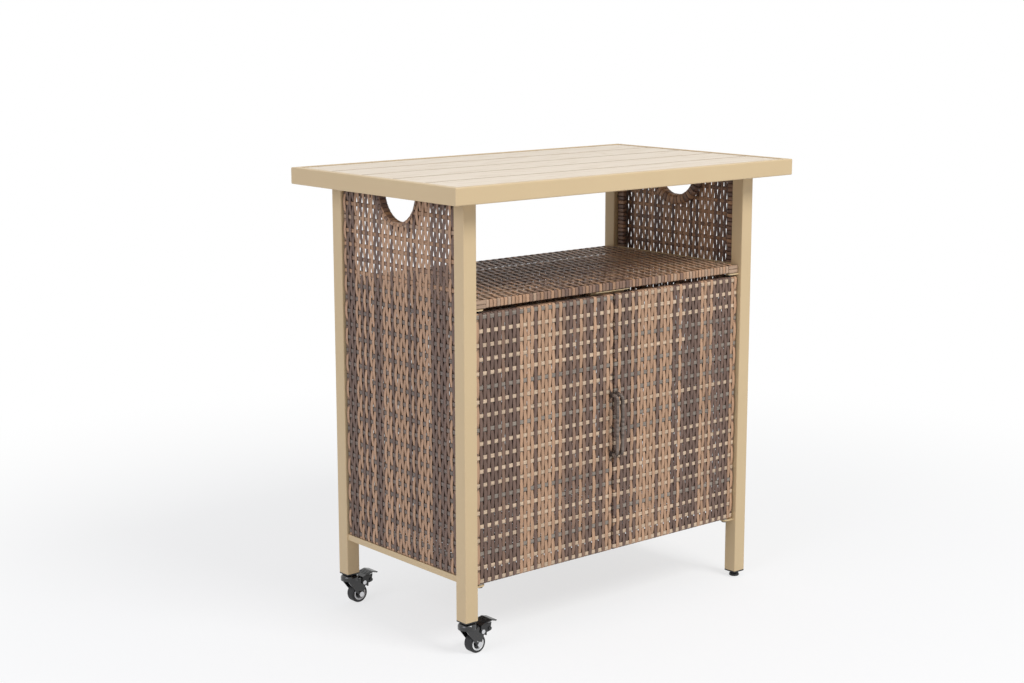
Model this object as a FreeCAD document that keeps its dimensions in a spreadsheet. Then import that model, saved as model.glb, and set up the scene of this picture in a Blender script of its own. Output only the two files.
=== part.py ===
"""A grill cart with storage: a plank top on four square legs, an open bay above a woven cupboard with two
doors, braked swivel casters on the left legs and levelling feet on the right ones.

Millimetres. X runs along the top, Y from the doors to the back, Z up. The origin is on the floor, under the
middle of the top.
"""

import FreeCAD, Part
import os
import Sketcher

Vector = FreeCAD.Vector
doc = FreeCAD.newDocument("grill_cart")

# Driving dimensions, one cell each in the sheet, with the place that each one sets.
SIZES = {
    "top_length": 890,
    "top_depth": 525,
    "cart_height": 900,
    "apron_height": 33,
    "apron_tube": 14,
    "apron_edge": 2.5,
    "tube_wall": 1.5,
    "plank_count": 5,
    "plank_gap": 3,
    "plank_height": 15,
    "plank_sheet": 1.6,
    "plank_edge": 1.2,
    "plank_drop": 1,
    "leg_side": 30,
    "leg_edge": 2,
    "leg_inset_side": 60,
    "leg_inset_front": 54,
    "caster_leg_lift": 67,
    "foot_leg_lift": 14,
    "side_panel_thickness": 20,
    "side_panel_setback": 3,
    "panel_edge": 2.6,
    "panel_spacer": 2.5,
    "spacer_radius": 7,
    "spacer_margin": 75,
    "stud_radius": 3,
    "stud_clearance": 0.2,
    "stud_tail": 5,
    "nut_radius": 5.5,
    "nut_height": 4,
    "weave": 3,
    "frame_clearance": 0.2,
    "frame_wall": 1.2,
    "arch_radius": 57,
    "bottom_rail_top": 153,
    "bottom_rail_height": 12,
    "bottom_rail_width": 32,
    "shelf_top": 681,
    "shelf_thickness": 18,
    "shelf_setback": 8.5,
    "shelf_end_gap": 1.5,
    "ledge_flange": 25,
    "ledge_sheet": 2.5,
    "floor_thickness": 16,
    "floor_front_gap": 6.5,
    "back_panel_thickness": 20,
    "back_panel_setback": 6,
    "door_thickness": 20,
    "door_setback": 7,
    "door_bottom": 133,
    "door_top_gap": 7,
    "door_side_gap": 3,
    "door_split": 4,
    "hinge_inset": 14,
    "hinge_pin_radius": 3,
    "hinge_pin_depth": 13,
    "hinge_clearance": 0.08,
    "fit_clearance": 0.05,
    "bushing_radius": 5,
    "bushing_length": 14.5,
    "bracket_sheet": 3,
    "bracket_radius": 9,
    "washer_height": 1.7,
    "washer_gap": 0.3,
    "pin_head_radius": 6,
    "pin_head_height": 3,
    "stop_sheet": 1.5,
    "stop_half_width": 45,
    "stop_drop": 20,
    "stop_setback": 5,
    "magnet_radius": 6,
    "magnet_height": 1.2,
    "magnet_offset": 25,
    "handle_inset": 5,
    "handle_radius": 3.5,
    "handle_low": 334,
    "handle_high": 454,
    "handle_reach": 18.5,
    "handle_bend": 9,
    "collar_radius": 5.8,
    "collar_length": 5,
    "socket_fit": 0.2,
    "socket_depth": 38,
    "socket_flange": 2.5,
    "stem_radius": 5.5,
    "stem_length": 34,
    "stem_collar_radius": 9,
    "stem_head_radius": 8.5,
    "stem_head_height": 2.2,
    "stem_head_bevel": 1,
    "stem_collar_height": 1.4,
    "swivel_clearance": 0.08,
    "raceway_gap": 0.4,
    "dome_radius": 18.5,
    "dome_crown_radius": 12.5,
    "dome_height": 12,
    "dome_shoulder": 6,
    "dome_round": 7.2,
    "dome_skirt": 2,
    "dome_plate": 9.6,
    "trail": 18,
    "wheel_radius": 19,
    "tyre_width": 20,
    "tyre_edge": 3,
    "hub_radius": 14,
    "hub_boss_radius": 6,
    "hub_ring": 3.2,
    "hub_recess": 3,
    "axle_radius": 3,
    "axle_clearance": 0.08,
    "axle_nut_radius": 5.4,
    "axle_nut_height": 3.6,
    "wheel_gap": 1,
    "cheek_gap": 0.5,
    "fork_sheet": 2,
    "fork_back": 11,
    "fork_front": 13,
    "fork_foot_radius": 6.5,
    "cheek_drop": 0.5,
    "cheek_shoulder": 4,
    "cheek_margin": 1,
    "pedal_pivot_ahead": 25.5,
    "pedal_pivot_height": 43,
    "rivet_radius": 2,
    "rivet_head_radius": 4.2,
    "rivet_head_height": 1.6,
    "rivet_gap": 0.3,
    "pedal_sheet": 2,
    "pedal_ear_gap": 0.5,
    "pedal_reach": 60,
    "pedal_rise": 58,
    "pedal_crown": 2,
    "pedal_lip": 12,
    "pedal_lip_drop": 1,
    "pedal_crease": 6,
    "pedal_crease_drop": 1.5,
    "pedal_heel": 4,
    "pedal_heel_drop": 5,
    "rib_count": 4,
    "rib_pitch": 4,
    "rib_climb": 0.7,
    "rib_width": 1.6,
    "rib_height": 1.2,
    "rib_setback": 2,
    "ear_back": 5,
    "ear_front": 18,
    "ear_drop": 5,
    "ear_shoulder": 2,
    "ear_lean": 3,
    "ear_lap": 0.5,
    "ear_rivet_ahead": 16.5,
    "ear_rivet_rise": 2.8,
    "ear_rivet_radius": 3.8,
    "tooth_half_width": 7,
    "tooth_root_ahead": 8,
    "tooth_tip_width": 2,
    "tooth_tip_ahead": 40,
    "tooth_tip_height": 29.5,
    "foot_radius": 10.5,
    "foot_pad": 4,
    "foot_bevel": 0.8,
    "foot_cone": 5,
    "foot_neck_radius": 6.5,
    "foot_stud_radius": 4,
    "foot_stud_length": 30,
    "thread_clearance": 0.06,
    "plug_depth": 25,
    "plug_flange": 3,
}

sheet = doc.addObject("Spreadsheet::Sheet", "Sizes")
for row, (alias, size) in enumerate(SIZES.items(), start=1):
    sheet.set(f"A{row}", alias.replace("_", " "))
    sheet.set(f"B{row}", str(size))
    sheet.setAlias(f"B{row}", alias)
probe = doc.addObject("App::FeaturePython", "Probe")
doc.recompute()

NEAR = 0.01  # how far two heights may differ and still count as one
LEAST_CUT = 0.1  # the least volume, in cubic millimetres, that a cut has to take away
nodes = []


def number(expression):
    """The value that an expression has with the sheet as it stands."""
    value = probe.evalExpression(expression)
    return float(getattr(value, "Value", value))


def keep(piece):
    """Adds a finished piece to the parts that are written out."""
    nodes.append(piece)
    return piece


def new_body(label, x="0", y="0", z="0"):
    """An empty body with its own label, placed by three expressions."""
    body = doc.addObject("PartDesign::Body", label)
    body.Label = label
    body.AllowCompound = True
    for axis, place in zip("xyz", (x, y, z)):
        body.setExpression(f"Placement.Base.{axis}", place)
    return body


def new_sketch(body, name, plane, shift="0"):
    """A sketch on one of the body's own origin planes, moved along that plane's normal."""
    support = next(item for item in body.Origin.OriginFeatures if item.Role == plane)
    sketch = body.newObject("Sketcher::SketchObject", name)
    sketch.AttachmentSupport = [(support, "")]
    sketch.MapMode = "FlatFace"
    sketch.setExpression("AttachmentOffset.Base.z", shift)
    return sketch


def fix(sketch, kind, *places, size):
    """One dimension of a sketch, tied to an expression."""
    index = sketch.addConstraint(Sketcher.Constraint(kind, *places, number(size)))
    sketch.setExpression(f"Constraints[{index}]", size)


def draw_line_loop(sketch, corners, closed=True):
    """Straight or curved edges through the corners. A corner is (x, y), or (x, y, radius, side) where the
    edge that leaves it is an arc with its centre on the left (side 1) or the right (side -1)."""
    spots = [Vector(number(corner[0]), number(corner[1]), 0) for corner in corners]
    count = len(corners) if closed else len(corners) - 1
    ends = []
    for index in range(count):
        start = spots[index]
        stop = spots[(index + 1) % len(spots)]
        if len(corners[index]) == 2:
            edge = sketch.addGeometry(Part.LineSegment(start, stop))
            ends.append((edge, 1, 2))
            continue
        radius = number(corners[index][2])
        side = corners[index][3]
        chord = stop - start
        across = Vector(-chord.y, chord.x, 0).normalize() * side
        rise = max(radius ** 2 - (chord.Length / 2) ** 2, 0) ** 0.5
        centre = (start + stop) / 2 + across * rise
        middle = centre - across * radius
        edge = sketch.addGeometry(Part.Arc(start, middle, stop))
        ends.append((edge, 1, 2) if side > 0 else (edge, 2, 1))
        fix(sketch, "Radius", edge, size=corners[index][2])
    for index in range(count if closed else count - 1):
        edge, _, tail = ends[index]
        following, head, _ = ends[(index + 1) % count]
        sketch.addConstraint(Sketcher.Constraint("Coincident", edge, tail, following, head))
    for index, corner in enumerate(corners):
        edge, place = (ends[index][0], ends[index][1]) if index < count else (ends[-1][0], ends[-1][2])
        fix(sketch, "DistanceX", -1, 1, edge, place, size=corner[0])
        fix(sketch, "DistanceY", -1, 1, edge, place, size=corner[1])


def draw_box(sketch, left, low, right, high):
    """A rectangle between two corners."""
    draw_line_loop(sketch, [(left, low), (right, low), (right, high), (left, high)])


def draw_circle(sketch, x, y, radius):
    """A circle about a point."""
    centre = Vector(number(x), number(y), 0)
    edge = sketch.addGeometry(Part.Circle(centre, Vector(0, 0, 1), number(radius)))
    fix(sketch, "DistanceX", -1, 1, edge, 3, size=x)
    fix(sketch, "DistanceY", -1, 1, edge, 3, size=y)
    fix(sketch, "Radius", edge, size=radius)


def pad(body, sketch, length, backwards=False, both_ways=False):
    """Material along the sketch's normal."""
    feature = body.newObject("PartDesign::Pad", sketch.Name + "_pad")
    feature.Profile = sketch
    feature.setExpression("Length", length)
    feature.Reversed = backwards
    if both_ways:
        feature.SideType = "Symmetric"
    return feature


def pocket(body, sketch, depth, forwards=False):
    """A cut against the sketch's normal, or along it when forwards."""
    feature = body.newObject("PartDesign::Pocket", sketch.Name + "_cut")
    feature.Profile = sketch
    feature.setExpression("Length", depth)
    feature.Reversed = forwards
    return feature


def round_edges(body, base, radius, pick=None):
    """Rounds every edge of a feature, or those that pick accepts."""
    doc.recompute()
    feature = body.newObject("PartDesign::Fillet", base.Name + "_round")
    if pick is None:
        feature.Base = (base, [])
        feature.UseAllEdges = True
    else:
        edges = enumerate(base.Shape.Edges, start=1)
        feature.Base = (base, [f"Edge{index}" for index, edge in edges if pick(edge)])
    feature.setExpression("Radius", radius)
    return feature


def spin(body, sketch, axis):
    """A full turn of a sketch about one of the body's origin axes."""
    line = next(item for item in body.Origin.OriginFeatures if item.Role == axis)
    feature = body.newObject("PartDesign::Revolution", sketch.Name + "_turn")
    feature.Profile = sketch
    feature.ReferenceAxis = (line, [""])
    feature.Angle = 360
    return feature


# Places that several pieces share, each an expression on the sheet.
LEG_X = "(Sizes.top_length / 2 - Sizes.leg_inset_side - Sizes.leg_side / 2)"
LEG_Y = "(Sizes.top_depth / 2 - Sizes.leg_inset_front - Sizes.leg_side / 2)"
LEG_TOP = "(Sizes.cart_height - Sizes.apron_height)"
BAY_X = f"({LEG_X} - Sizes.leg_side / 2)"
BAY_Y = f"({LEG_Y} - Sizes.leg_side / 2)"
LEG_FRONT = f"({LEG_Y} + Sizes.leg_side / 2)"
SIDE_OUTER = f"({LEG_X} + Sizes.leg_side / 2 - Sizes.side_panel_setback)"
SIDE_INNER = f"({SIDE_OUTER} - Sizes.side_panel_thickness)"
SIDE_BOTTOM = "Sizes.bottom_rail_top"
SHELF_BOTTOM = "(Sizes.shelf_top - Sizes.shelf_thickness)"
BACK_OUTER = f"({LEG_FRONT} - Sizes.back_panel_setback)"
BACK_INNER = f"({BACK_OUTER} - Sizes.back_panel_thickness)"
BACK_TOP = f"({SHELF_BOTTOM} - Sizes.panel_spacer)"
DOOR_TOP = f"({SHELF_BOTTOM} - Sizes.door_top_gap)"
DOOR_FRONT = f"({LEG_FRONT} - Sizes.door_setback)"
DOOR_BACK = f"({DOOR_FRONT} - Sizes.door_thickness)"
DOOR_OUTER = f"({BAY_X} - Sizes.door_side_gap)"
HINGE_X = f"({DOOR_OUTER} - Sizes.hinge_inset)"
HINGE_Y = f"({DOOR_FRONT} - Sizes.door_thickness / 2)"
BRACKET_TOP = "(Sizes.door_bottom - Sizes.washer_gap - Sizes.washer_height)"
LEG_BORE = "(Sizes.leg_side - 2 * Sizes.tube_wall - 2 * Sizes.socket_fit)"
SOCKET_BOTTOM = "(Sizes.caster_leg_lift - Sizes.socket_flange)"
DOME_TOP = f"({SOCKET_BOTTOM} - Sizes.stem_collar_height - Sizes.raceway_gap)"
DOME_BOTTOM = f"({DOME_TOP} - Sizes.dome_height)"
DOME_CEILING = f"({DOME_TOP} - Sizes.dome_plate)"
CHEEK_INNER = "(Sizes.tyre_width / 2 + Sizes.wheel_gap + Sizes.cheek_gap)"
CHEEK_OUTER = f"({CHEEK_INNER} + Sizes.fork_sheet)"
EAR_INNER = f"({CHEEK_OUTER} + Sizes.pedal_ear_gap)"
EAR_OUTER = f"({EAR_INNER} + Sizes.pedal_sheet)"
STUD_BORE = "(Sizes.stud_radius + Sizes.stud_clearance)"


def make_tabletop_frame():
    """The apron ring: square-cornered tube round the planks, welded at its mitres and hollow inside."""
    body = new_body("tabletop_frame", z=LEG_TOP)
    outline = new_sketch(body, "apron_outline", "XY_Plane")
    half_length = "Sizes.top_length / 2"
    half_depth = "Sizes.top_depth / 2"
    draw_box(outline, f"-{half_length}", f"-{half_depth}", half_length, half_depth)
    block = pad(body, outline, "Sizes.apron_height")
    round_edges(body, block, "Sizes.apron_edge")
    inside = new_sketch(body, "apron_inside", "XY_Plane", "Sizes.apron_height")
    inner_x = f"({half_length} - Sizes.apron_tube)"
    inner_y = f"({half_depth} - Sizes.apron_tube)"
    draw_box(inside, f"-{inner_x}", f"-{inner_y}", inner_x, inner_y)
    pocket(body, inside, "Sizes.apron_height")
    hollow = new_sketch(body, "apron_hollow", "XY_Plane", "Sizes.apron_height - Sizes.tube_wall")
    for margin in ("Sizes.tube_wall", "(Sizes.apron_tube - Sizes.tube_wall)"):
        draw_box(
            hollow,
            f"-({half_length} - {margin})",
            f"-({half_depth} - {margin})",
            f"{half_length} - {margin}",
            f"{half_depth} - {margin}",
        )
    pocket(body, hollow, "Sizes.apron_height - 2 * Sizes.tube_wall")
    return keep(body)


def make_planks():
    """Planks along the top: folded channels, open below, inside the apron with a gap round each."""
    inner_depth = "(Sizes.top_depth - 2 * Sizes.apron_tube)"
    width = f"(({inner_depth} - (Sizes.plank_count + 1) * Sizes.plank_gap) / Sizes.plank_count)"
    length = "(Sizes.top_length - 2 * Sizes.apron_tube - 2 * Sizes.plank_gap)"
    half = f"({width} / 2)"
    underside = "(Sizes.cart_height - Sizes.plank_drop - Sizes.plank_height)"
    for index in range(int(number("Sizes.plank_count"))):
        middle = f"-{inner_depth} / 2 + Sizes.plank_gap + {half} + {index} * ({width} + Sizes.plank_gap)"
        body = new_body(f"plank_{index + 1}", y=middle, z=underside)
        outline = new_sketch(body, f"plank_{index + 1}_outline", "YZ_Plane", f"-{length} / 2")
        draw_box(outline, f"-{half}", "0", half, "Sizes.plank_height")
        block = pad(body, outline, length)
        top = number("Sizes.plank_height")
        round_edges(body, block, "Sizes.plank_edge", lambda edge: edge.BoundBox.ZMin > top - NEAR)
        below = new_sketch(body, f"plank_{index + 1}_below", "XY_Plane")
        reach = f"({length} / 2 - Sizes.plank_sheet)"
        side = f"({half} - Sizes.plank_sheet)"
        draw_box(below, f"-{reach}", f"-{side}", reach, side)
        pocket(body, below, "Sizes.plank_height - Sizes.plank_sheet", forwards=True)
        keep(body)


def make_cross_rails():
    """Three tubes across the underside, inside the apron: two over the leg pairs and one in the middle. The
    planks are screwed down to them."""
    body = new_body("cross_rails", z=LEG_TOP)
    length = "(Sizes.top_depth - 2 * Sizes.apron_tube)"
    height = "(Sizes.apron_height - Sizes.plank_drop - Sizes.plank_height)"
    half = "Sizes.leg_side / 2"
    section = new_sketch(body, "cross_rail_section", "XZ_Plane", f"-{length} / 2")
    for place in (f"-{LEG_X}", "0", LEG_X):
        draw_box(section, f"{place} - {half}", "0", f"{place} + {half}", height)
        draw_box(
            section,
            f"{place} - {half} + Sizes.tube_wall",
            "Sizes.tube_wall",
            f"{place} + {half} - Sizes.tube_wall",
            f"{height} - Sizes.tube_wall",
        )
    pad(body, section, length)
    return keep(body)


def make_leg(label, side, face, lift):
    """A square tube from its caster or foot up to the cross rail, with a stud hole towards each panel that it
    carries. side is -1 on the left and 1 on the right, face -1 at the front and 1 at the back."""
    body = new_body(label, f"{side} * {LEG_X}", f"{face} * {LEG_Y}", lift)
    half = "Sizes.leg_side / 2"
    outline = new_sketch(body, f"{label}_outline", "XY_Plane")
    draw_box(outline, f"-{half}", f"-{half}", half, half)
    block = pad(body, outline, f"{LEG_TOP} - {lift}")

    def is_upright(edge):
        return edge.BoundBox.ZLength > edge.BoundBox.XLength + edge.BoundBox.YLength

    round_edges(body, block, "Sizes.leg_edge", is_upright)
    inside = new_sketch(body, f"{label}_inside", "XY_Plane")
    inner = f"({half} - Sizes.tube_wall)"
    draw_box(inside, f"-{inner}", f"-{inner}", inner, inner)
    pocket(body, inside, f"{LEG_TOP} - {lift}", forwards=True)
    holes = new_sketch(body, f"{label}_holes", "XZ_Plane", f"{face} * {half}")
    middle = f"{side} * (({SIDE_OUTER} + {SIDE_INNER}) / 2 - {LEG_X})"
    for height in stud_heights(SIDE_BOTTOM, LEG_TOP):
        draw_circle(holes, middle, f"{height} - {lift}", STUD_BORE)
    pocket(body, holes, "Sizes.tube_wall * 2", forwards=face < 0)
    if face > 0:
        back = new_sketch(body, f"{label}_back_holes", "YZ_Plane", f"{-side} * {half}")
        across = f"(({BACK_OUTER} + {BACK_INNER}) / 2 - {LEG_Y})"
        for height in stud_heights(SIDE_BOTTOM, BACK_TOP):
            draw_circle(back, across, f"{height} - {lift}", STUD_BORE)
        pocket(body, back, "Sizes.tube_wall * 2", forwards=side > 0)
    return keep(body)


def stud_heights(bottom, top):
    """The two heights at which a panel is fastened to its legs."""
    return (f"({bottom} + Sizes.spacer_margin)", f"({top} - Sizes.spacer_margin)")


def draw_panel(sketch, limits, inset, arch=False):
    """A panel's outline, drawn in by inset: a rectangle, or one with a half-round bite in its top edge."""
    left, low, right, high = limits
    left, low = f"{left} + {inset}", f"{low} + {inset}"
    right, top = f"{right} - {inset}", f"{high} - {inset}"
    if not arch:
        draw_box(sketch, left, low, right, top)
        return
    radius = f"(Sizes.arch_radius + {inset})"
    half = f"sqrt({radius} ^ 2 - ({inset}) ^ 2)"
    corners = [(f"-{half}", top), (left, top), (left, low), (right, low), (right, top), (half, top)]
    draw_line_loop(sketch, corners, closed=False)
    last = sketch.GeometryCount - 1
    first = last - (len(corners) - 2)
    centre = Vector(0, number(high), 0)
    reach = Vector(number(half), number(top) - centre.y, 0)
    bottom = Vector(0, centre.y - number(radius), 0)
    bite = sketch.addGeometry(Part.Arc(centre - Vector(reach.x, -reach.y, 0), bottom, centre + reach))
    sketch.addConstraint(Sketcher.Constraint("Coincident", bite, 1, first, 1))
    sketch.addConstraint(Sketcher.Constraint("Coincident", bite, 2, last, 2))
    fix(sketch, "DistanceY", -1, 1, bite, 3, size=high)


def make_woven_panel(name, plane, limits, face, outward, thickness, arch=False, drills=()):
    """A woven panel and the tube frame inside it. The weave is one sheet on the outward side, wrapped right
    round the frame's tubes, so its other side is recessed. face is where that recessed side lies along the
    plane's normal, and outward is 1 or -1 along it. drills are (plane, shift, forwards, circles) for holes
    through the wrap and into the frame."""
    tube = f"({thickness} - 2 * Sizes.weave)"
    forwards = outward > 0
    weave = new_body(f"{name}_weave")
    outline = new_sketch(weave, f"{name}_outline", plane, face)
    draw_panel(outline, limits, "0", arch)
    slab = pad(weave, outline, thickness, backwards=not forwards)
    round_edges(weave, slab, "Sizes.panel_edge")
    recess = new_sketch(weave, f"{name}_recess", plane, face)
    draw_panel(recess, limits, thickness, arch)
    pocket(weave, recess, f"{thickness} - Sizes.weave", forwards)
    seat = new_sketch(weave, f"{name}_seat", plane, f"{face} + {outward} * Sizes.weave")
    draw_panel(seat, limits, "Sizes.weave", arch)
    draw_panel(seat, limits, f"(Sizes.weave + {tube})", arch)
    pocket(weave, seat, tube, forwards)

    frame = new_body(f"{name}_frame")
    gap = "Sizes.frame_clearance"
    start = f"{face} + {outward} * (Sizes.weave + {gap})"
    ring = new_sketch(frame, f"{name}_ring", plane, start)
    draw_panel(ring, limits, f"(Sizes.weave + {gap})", arch)
    draw_panel(ring, limits, f"(Sizes.weave + {tube} - {gap})", arch)
    pad(frame, ring, f"{tube} - 2 * {gap}", backwards=not forwards)
    hollow = new_sketch(frame, f"{name}_hollow", plane, f"{start} + {outward} * Sizes.frame_wall")
    draw_panel(hollow, limits, f"(Sizes.weave + {gap} + Sizes.frame_wall)", arch)
    draw_panel(hollow, limits, f"(Sizes.weave + {tube} - {gap} - Sizes.frame_wall)", arch)
    pocket(frame, hollow, f"{tube} - 2 * {gap} - 2 * Sizes.frame_wall", forwards)

    depth = f"(Sizes.weave + {gap} + Sizes.frame_wall + {gap})"
    for index, (drill_plane, shift, drill_forwards, circles) in enumerate(drills):
        for body in (weave, frame):
            holes = new_sketch(body, f"{body.Name}_drill_{index}", drill_plane, shift)
            for x, y, radius in circles:
                draw_circle(holes, x, y, radius)
            pocket(body, holes, depth, drill_forwards)
    keep(weave)
    keep(frame)


def make_side_panel(name, side):
    """A woven end wall between the front and back legs, with an arch under the top, drilled for its studs."""
    half = f"({BAY_Y} - Sizes.panel_spacer)"
    limits = (f"-{half}", SIDE_BOTTOM, half, LEG_TOP)
    middle = f"{side} * ({SIDE_OUTER} + {SIDE_INNER}) / 2"
    circles = [(middle, height, STUD_BORE) for height in stud_heights(SIDE_BOTTOM, LEG_TOP)]
    drills = [("XZ_Plane", half, False, circles), ("XZ_Plane", f"-{half}", True, circles)]
    thickness = "Sizes.side_panel_thickness"
    make_woven_panel(name, "YZ_Plane", limits, f"{side} * {SIDE_INNER}", side, thickness, True, drills)


def make_back_panel():
    """The woven back wall of the cupboard, between the back legs."""
    half = f"({BAY_X} - Sizes.panel_spacer)"
    limits = (f"-{half}", SIDE_BOTTOM, half, BACK_TOP)
    middle = f"({BACK_OUTER} + {BACK_INNER}) / 2"
    circles = [(middle, height, STUD_BORE) for height in stud_heights(SIDE_BOTTOM, BACK_TOP)]
    drills = [("YZ_Plane", half, False, circles), ("YZ_Plane", f"-{half}", True, circles)]
    thickness = "Sizes.back_panel_thickness"
    make_woven_panel("back", "XZ_Plane", limits, f"-{BACK_INNER}", -1, thickness, False, drills)


def make_shelf():
    """The woven shelf between the leg pairs, with its smooth side up."""
    half = f"({BAY_X} - Sizes.shelf_end_gap)"
    reach = f"({LEG_FRONT} - Sizes.shelf_setback)"
    limits = (f"-{half}", f"-{reach}", half, reach)
    make_woven_panel("shelf", "XY_Plane", limits, SHELF_BOTTOM, 1, "Sizes.shelf_thickness")


def make_floor():
    """The cupboard's woven floor, resting on the bottom rails between the end walls."""
    half = f"({SIDE_INNER} - Sizes.panel_spacer)"
    front = f"({BAY_Y} - Sizes.floor_front_gap)"
    back = f"({BAY_Y} - Sizes.panel_spacer)"
    limits = (f"-{half}", f"-{front}", half, back)
    make_woven_panel("floor", "XY_Plane", limits, SIDE_BOTTOM, 1, "Sizes.floor_thickness")


def make_panel_studs():
    """Black spacers between the panels and the legs, and the studs through them, with their nuts inside the
    legs."""
    spacers = new_body("panel_spacers")
    studs = new_body("panel_studs")
    side_middle = f"({SIDE_OUTER} + {SIDE_INNER}) / 2"
    back_middle = f"({BACK_OUTER} + {BACK_INNER}) / 2"
    wall = "(Sizes.tube_wall + Sizes.stud_clearance)"
    bite = "(Sizes.weave + Sizes.frame_clearance + Sizes.frame_wall)"
    groups = []
    for face in (-1, 1):
        spots = [(f"{side} * {side_middle}", height)
                 for side in (-1, 1) for height in stud_heights(SIDE_BOTTOM, LEG_TOP)]
        groups.append(("XZ_Plane", face, f"{-face} * {BAY_Y}", face > 0, spots))
    for side in (-1, 1):
        spots = [(back_middle, height) for height in stud_heights(SIDE_BOTTOM, BACK_TOP)]
        groups.append(("YZ_Plane", side, f"{side} * {BAY_X}", side < 0, spots))
    for index, (plane, way, shift, towards, spots) in enumerate(groups):
        sign = -way if plane == "XZ_Plane" else way
        rings = new_sketch(spacers, f"spacer_{index}", plane, shift)
        stud_end = f"{shift} - {sign} * (Sizes.panel_spacer + {bite})"
        shafts = new_sketch(studs, f"stud_{index}", plane, stud_end)
        nuts = new_sketch(studs, f"nut_{index}", plane, f"{shift} + {sign} * {wall}")
        for x, y in spots:
            draw_circle(rings, x, y, "Sizes.spacer_radius")
            draw_circle(rings, x, y, STUD_BORE)
            draw_circle(shafts, x, y, "Sizes.stud_radius")
            draw_circle(nuts, x, y, "Sizes.nut_radius")
        pad(spacers, rings, "Sizes.panel_spacer", backwards=sign > 0)
        pad(studs, shafts, f"Sizes.panel_spacer + {bite} + {wall} + Sizes.stud_tail", backwards=sign < 0)
        pad(studs, nuts, "Sizes.nut_height", backwards=sign < 0)
    keep(spacers)
    keep(studs)


def make_bottom_rail(label, side):
    """The tube under an end wall, between the front and back legs. The floor rests on its inner edge."""
    body = new_body(label, x=f"{side} * {SIDE_OUTER}", z="Sizes.bottom_rail_top - Sizes.bottom_rail_height")
    section = new_sketch(body, f"{label}_section", "XZ_Plane", f"-{BAY_Y}")
    for margin in ("0", "Sizes.tube_wall"):
        near = f"{-side} * ({margin})"
        far = f"{-side} * (Sizes.bottom_rail_width - {margin})"
        left, right = (near, far) if side < 0 else (far, near)
        draw_box(section, left, margin, right, f"Sizes.bottom_rail_height - {margin}")
    pad(body, section, f"2 * {BAY_Y}")
    return keep(body)


def make_shelf_ledges():
    """An angle on the inside of each end wall, under the end of the shelf."""
    body = new_body("shelf_ledges", z=f"{SHELF_BOTTOM} - Sizes.ledge_sheet")
    length = f"2 * ({BAY_Y} - Sizes.panel_spacer)"
    for side, name in ((-1, "left"), (1, "right")):
        section = new_sketch(body, f"ledge_{name}", "XZ_Plane", f"-({length}) / 2")
        wall = f"{side} * {SIDE_INNER}"
        inner = f"{side} * ({SIDE_INNER} - Sizes.ledge_sheet)"
        tip = f"{side} * ({SIDE_INNER} - Sizes.ledge_flange)"
        high = "Sizes.shelf_thickness + Sizes.ledge_sheet"
        corners = [(wall, "0"), (wall, high), (inner, high), (inner, "Sizes.ledge_sheet"),
                   (tip, "Sizes.ledge_sheet"), (tip, "0")]
        draw_line_loop(section, corners)
        pad(body, section, length)
    return keep(body)


def make_hinge_brackets():
    """Plates welded to the inner faces of the front legs, above and below each door's outer corner, with
    round noses about the hinge pins."""
    body = new_body("hinge_brackets")
    for level, top in (("low", BRACKET_TOP), ("high", SHELF_BOTTOM)):
        bottom = f"{top} - Sizes.bracket_sheet"
        for side, name in ((-1, "left"), (1, "right")):
            plate = new_sketch(body, f"bracket_{name}_{level}", "XY_Plane", bottom)
            leg_face = f"{side} * {BAY_X}"
            pin = f"{side} * {HINGE_X}"
            low = f"-({HINGE_Y} + Sizes.bracket_radius)"
            high = f"-({HINGE_Y} - Sizes.bracket_radius)"
            left, right = (leg_face, pin) if side < 0 else (pin, leg_face)
            draw_box(plate, left, low, right, high)
            pad(body, plate, "Sizes.bracket_sheet")
            nose = new_sketch(body, f"bracket_nose_{name}_{level}", "XY_Plane", bottom)
            draw_circle(nose, pin, f"-{HINGE_Y}", "Sizes.bracket_radius")
            pad(body, nose, "Sizes.bracket_sheet")
            bore = new_sketch(body, f"bracket_bore_{name}_{level}", "XY_Plane", bottom)
            draw_circle(bore, pin, f"-{HINGE_Y}", "Sizes.hinge_pin_radius + Sizes.fit_clearance")
            pocket(body, bore, "Sizes.bracket_sheet", forwards=True)
    return keep(body)


def make_hinge_pins():
    """Pins that stand in the plates and reach into the doors. The lower ones have round black heads."""
    pins = new_body("hinge_pins")
    washers = new_body("hinge_washers")
    reach = "Sizes.hinge_pin_depth"
    plate_bottom = f"({BRACKET_TOP} - Sizes.bracket_sheet)"
    heads = new_sketch(pins, "pin_heads", "XY_Plane", plate_bottom)
    lower = new_sketch(pins, "lower_pins", "XY_Plane", plate_bottom)
    upper = new_sketch(pins, "upper_pins", "XY_Plane", f"{DOOR_TOP} - {reach}")
    rings = new_sketch(washers, "washer_rings", "XY_Plane", BRACKET_TOP)
    for side in (-1, 1):
        place = (f"{side} * {HINGE_X}", f"-{HINGE_Y}")
        draw_circle(heads, *place, "Sizes.pin_head_radius")
        draw_circle(lower, *place, "Sizes.hinge_pin_radius")
        draw_circle(upper, *place, "Sizes.hinge_pin_radius")
        draw_circle(rings, *place, "Sizes.pin_head_radius")
        draw_circle(rings, *place, "Sizes.hinge_pin_radius + Sizes.fit_clearance")
    pad(pins, heads, "Sizes.pin_head_height", backwards=True)
    pad(pins, lower, f"Sizes.door_bottom + {reach} - {plate_bottom}")
    pad(pins, upper, f"{SHELF_BOTTOM} - ({DOOR_TOP} - {reach})")
    pad(washers, rings, "Sizes.washer_height")
    keep(pins)
    keep(washers)


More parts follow.
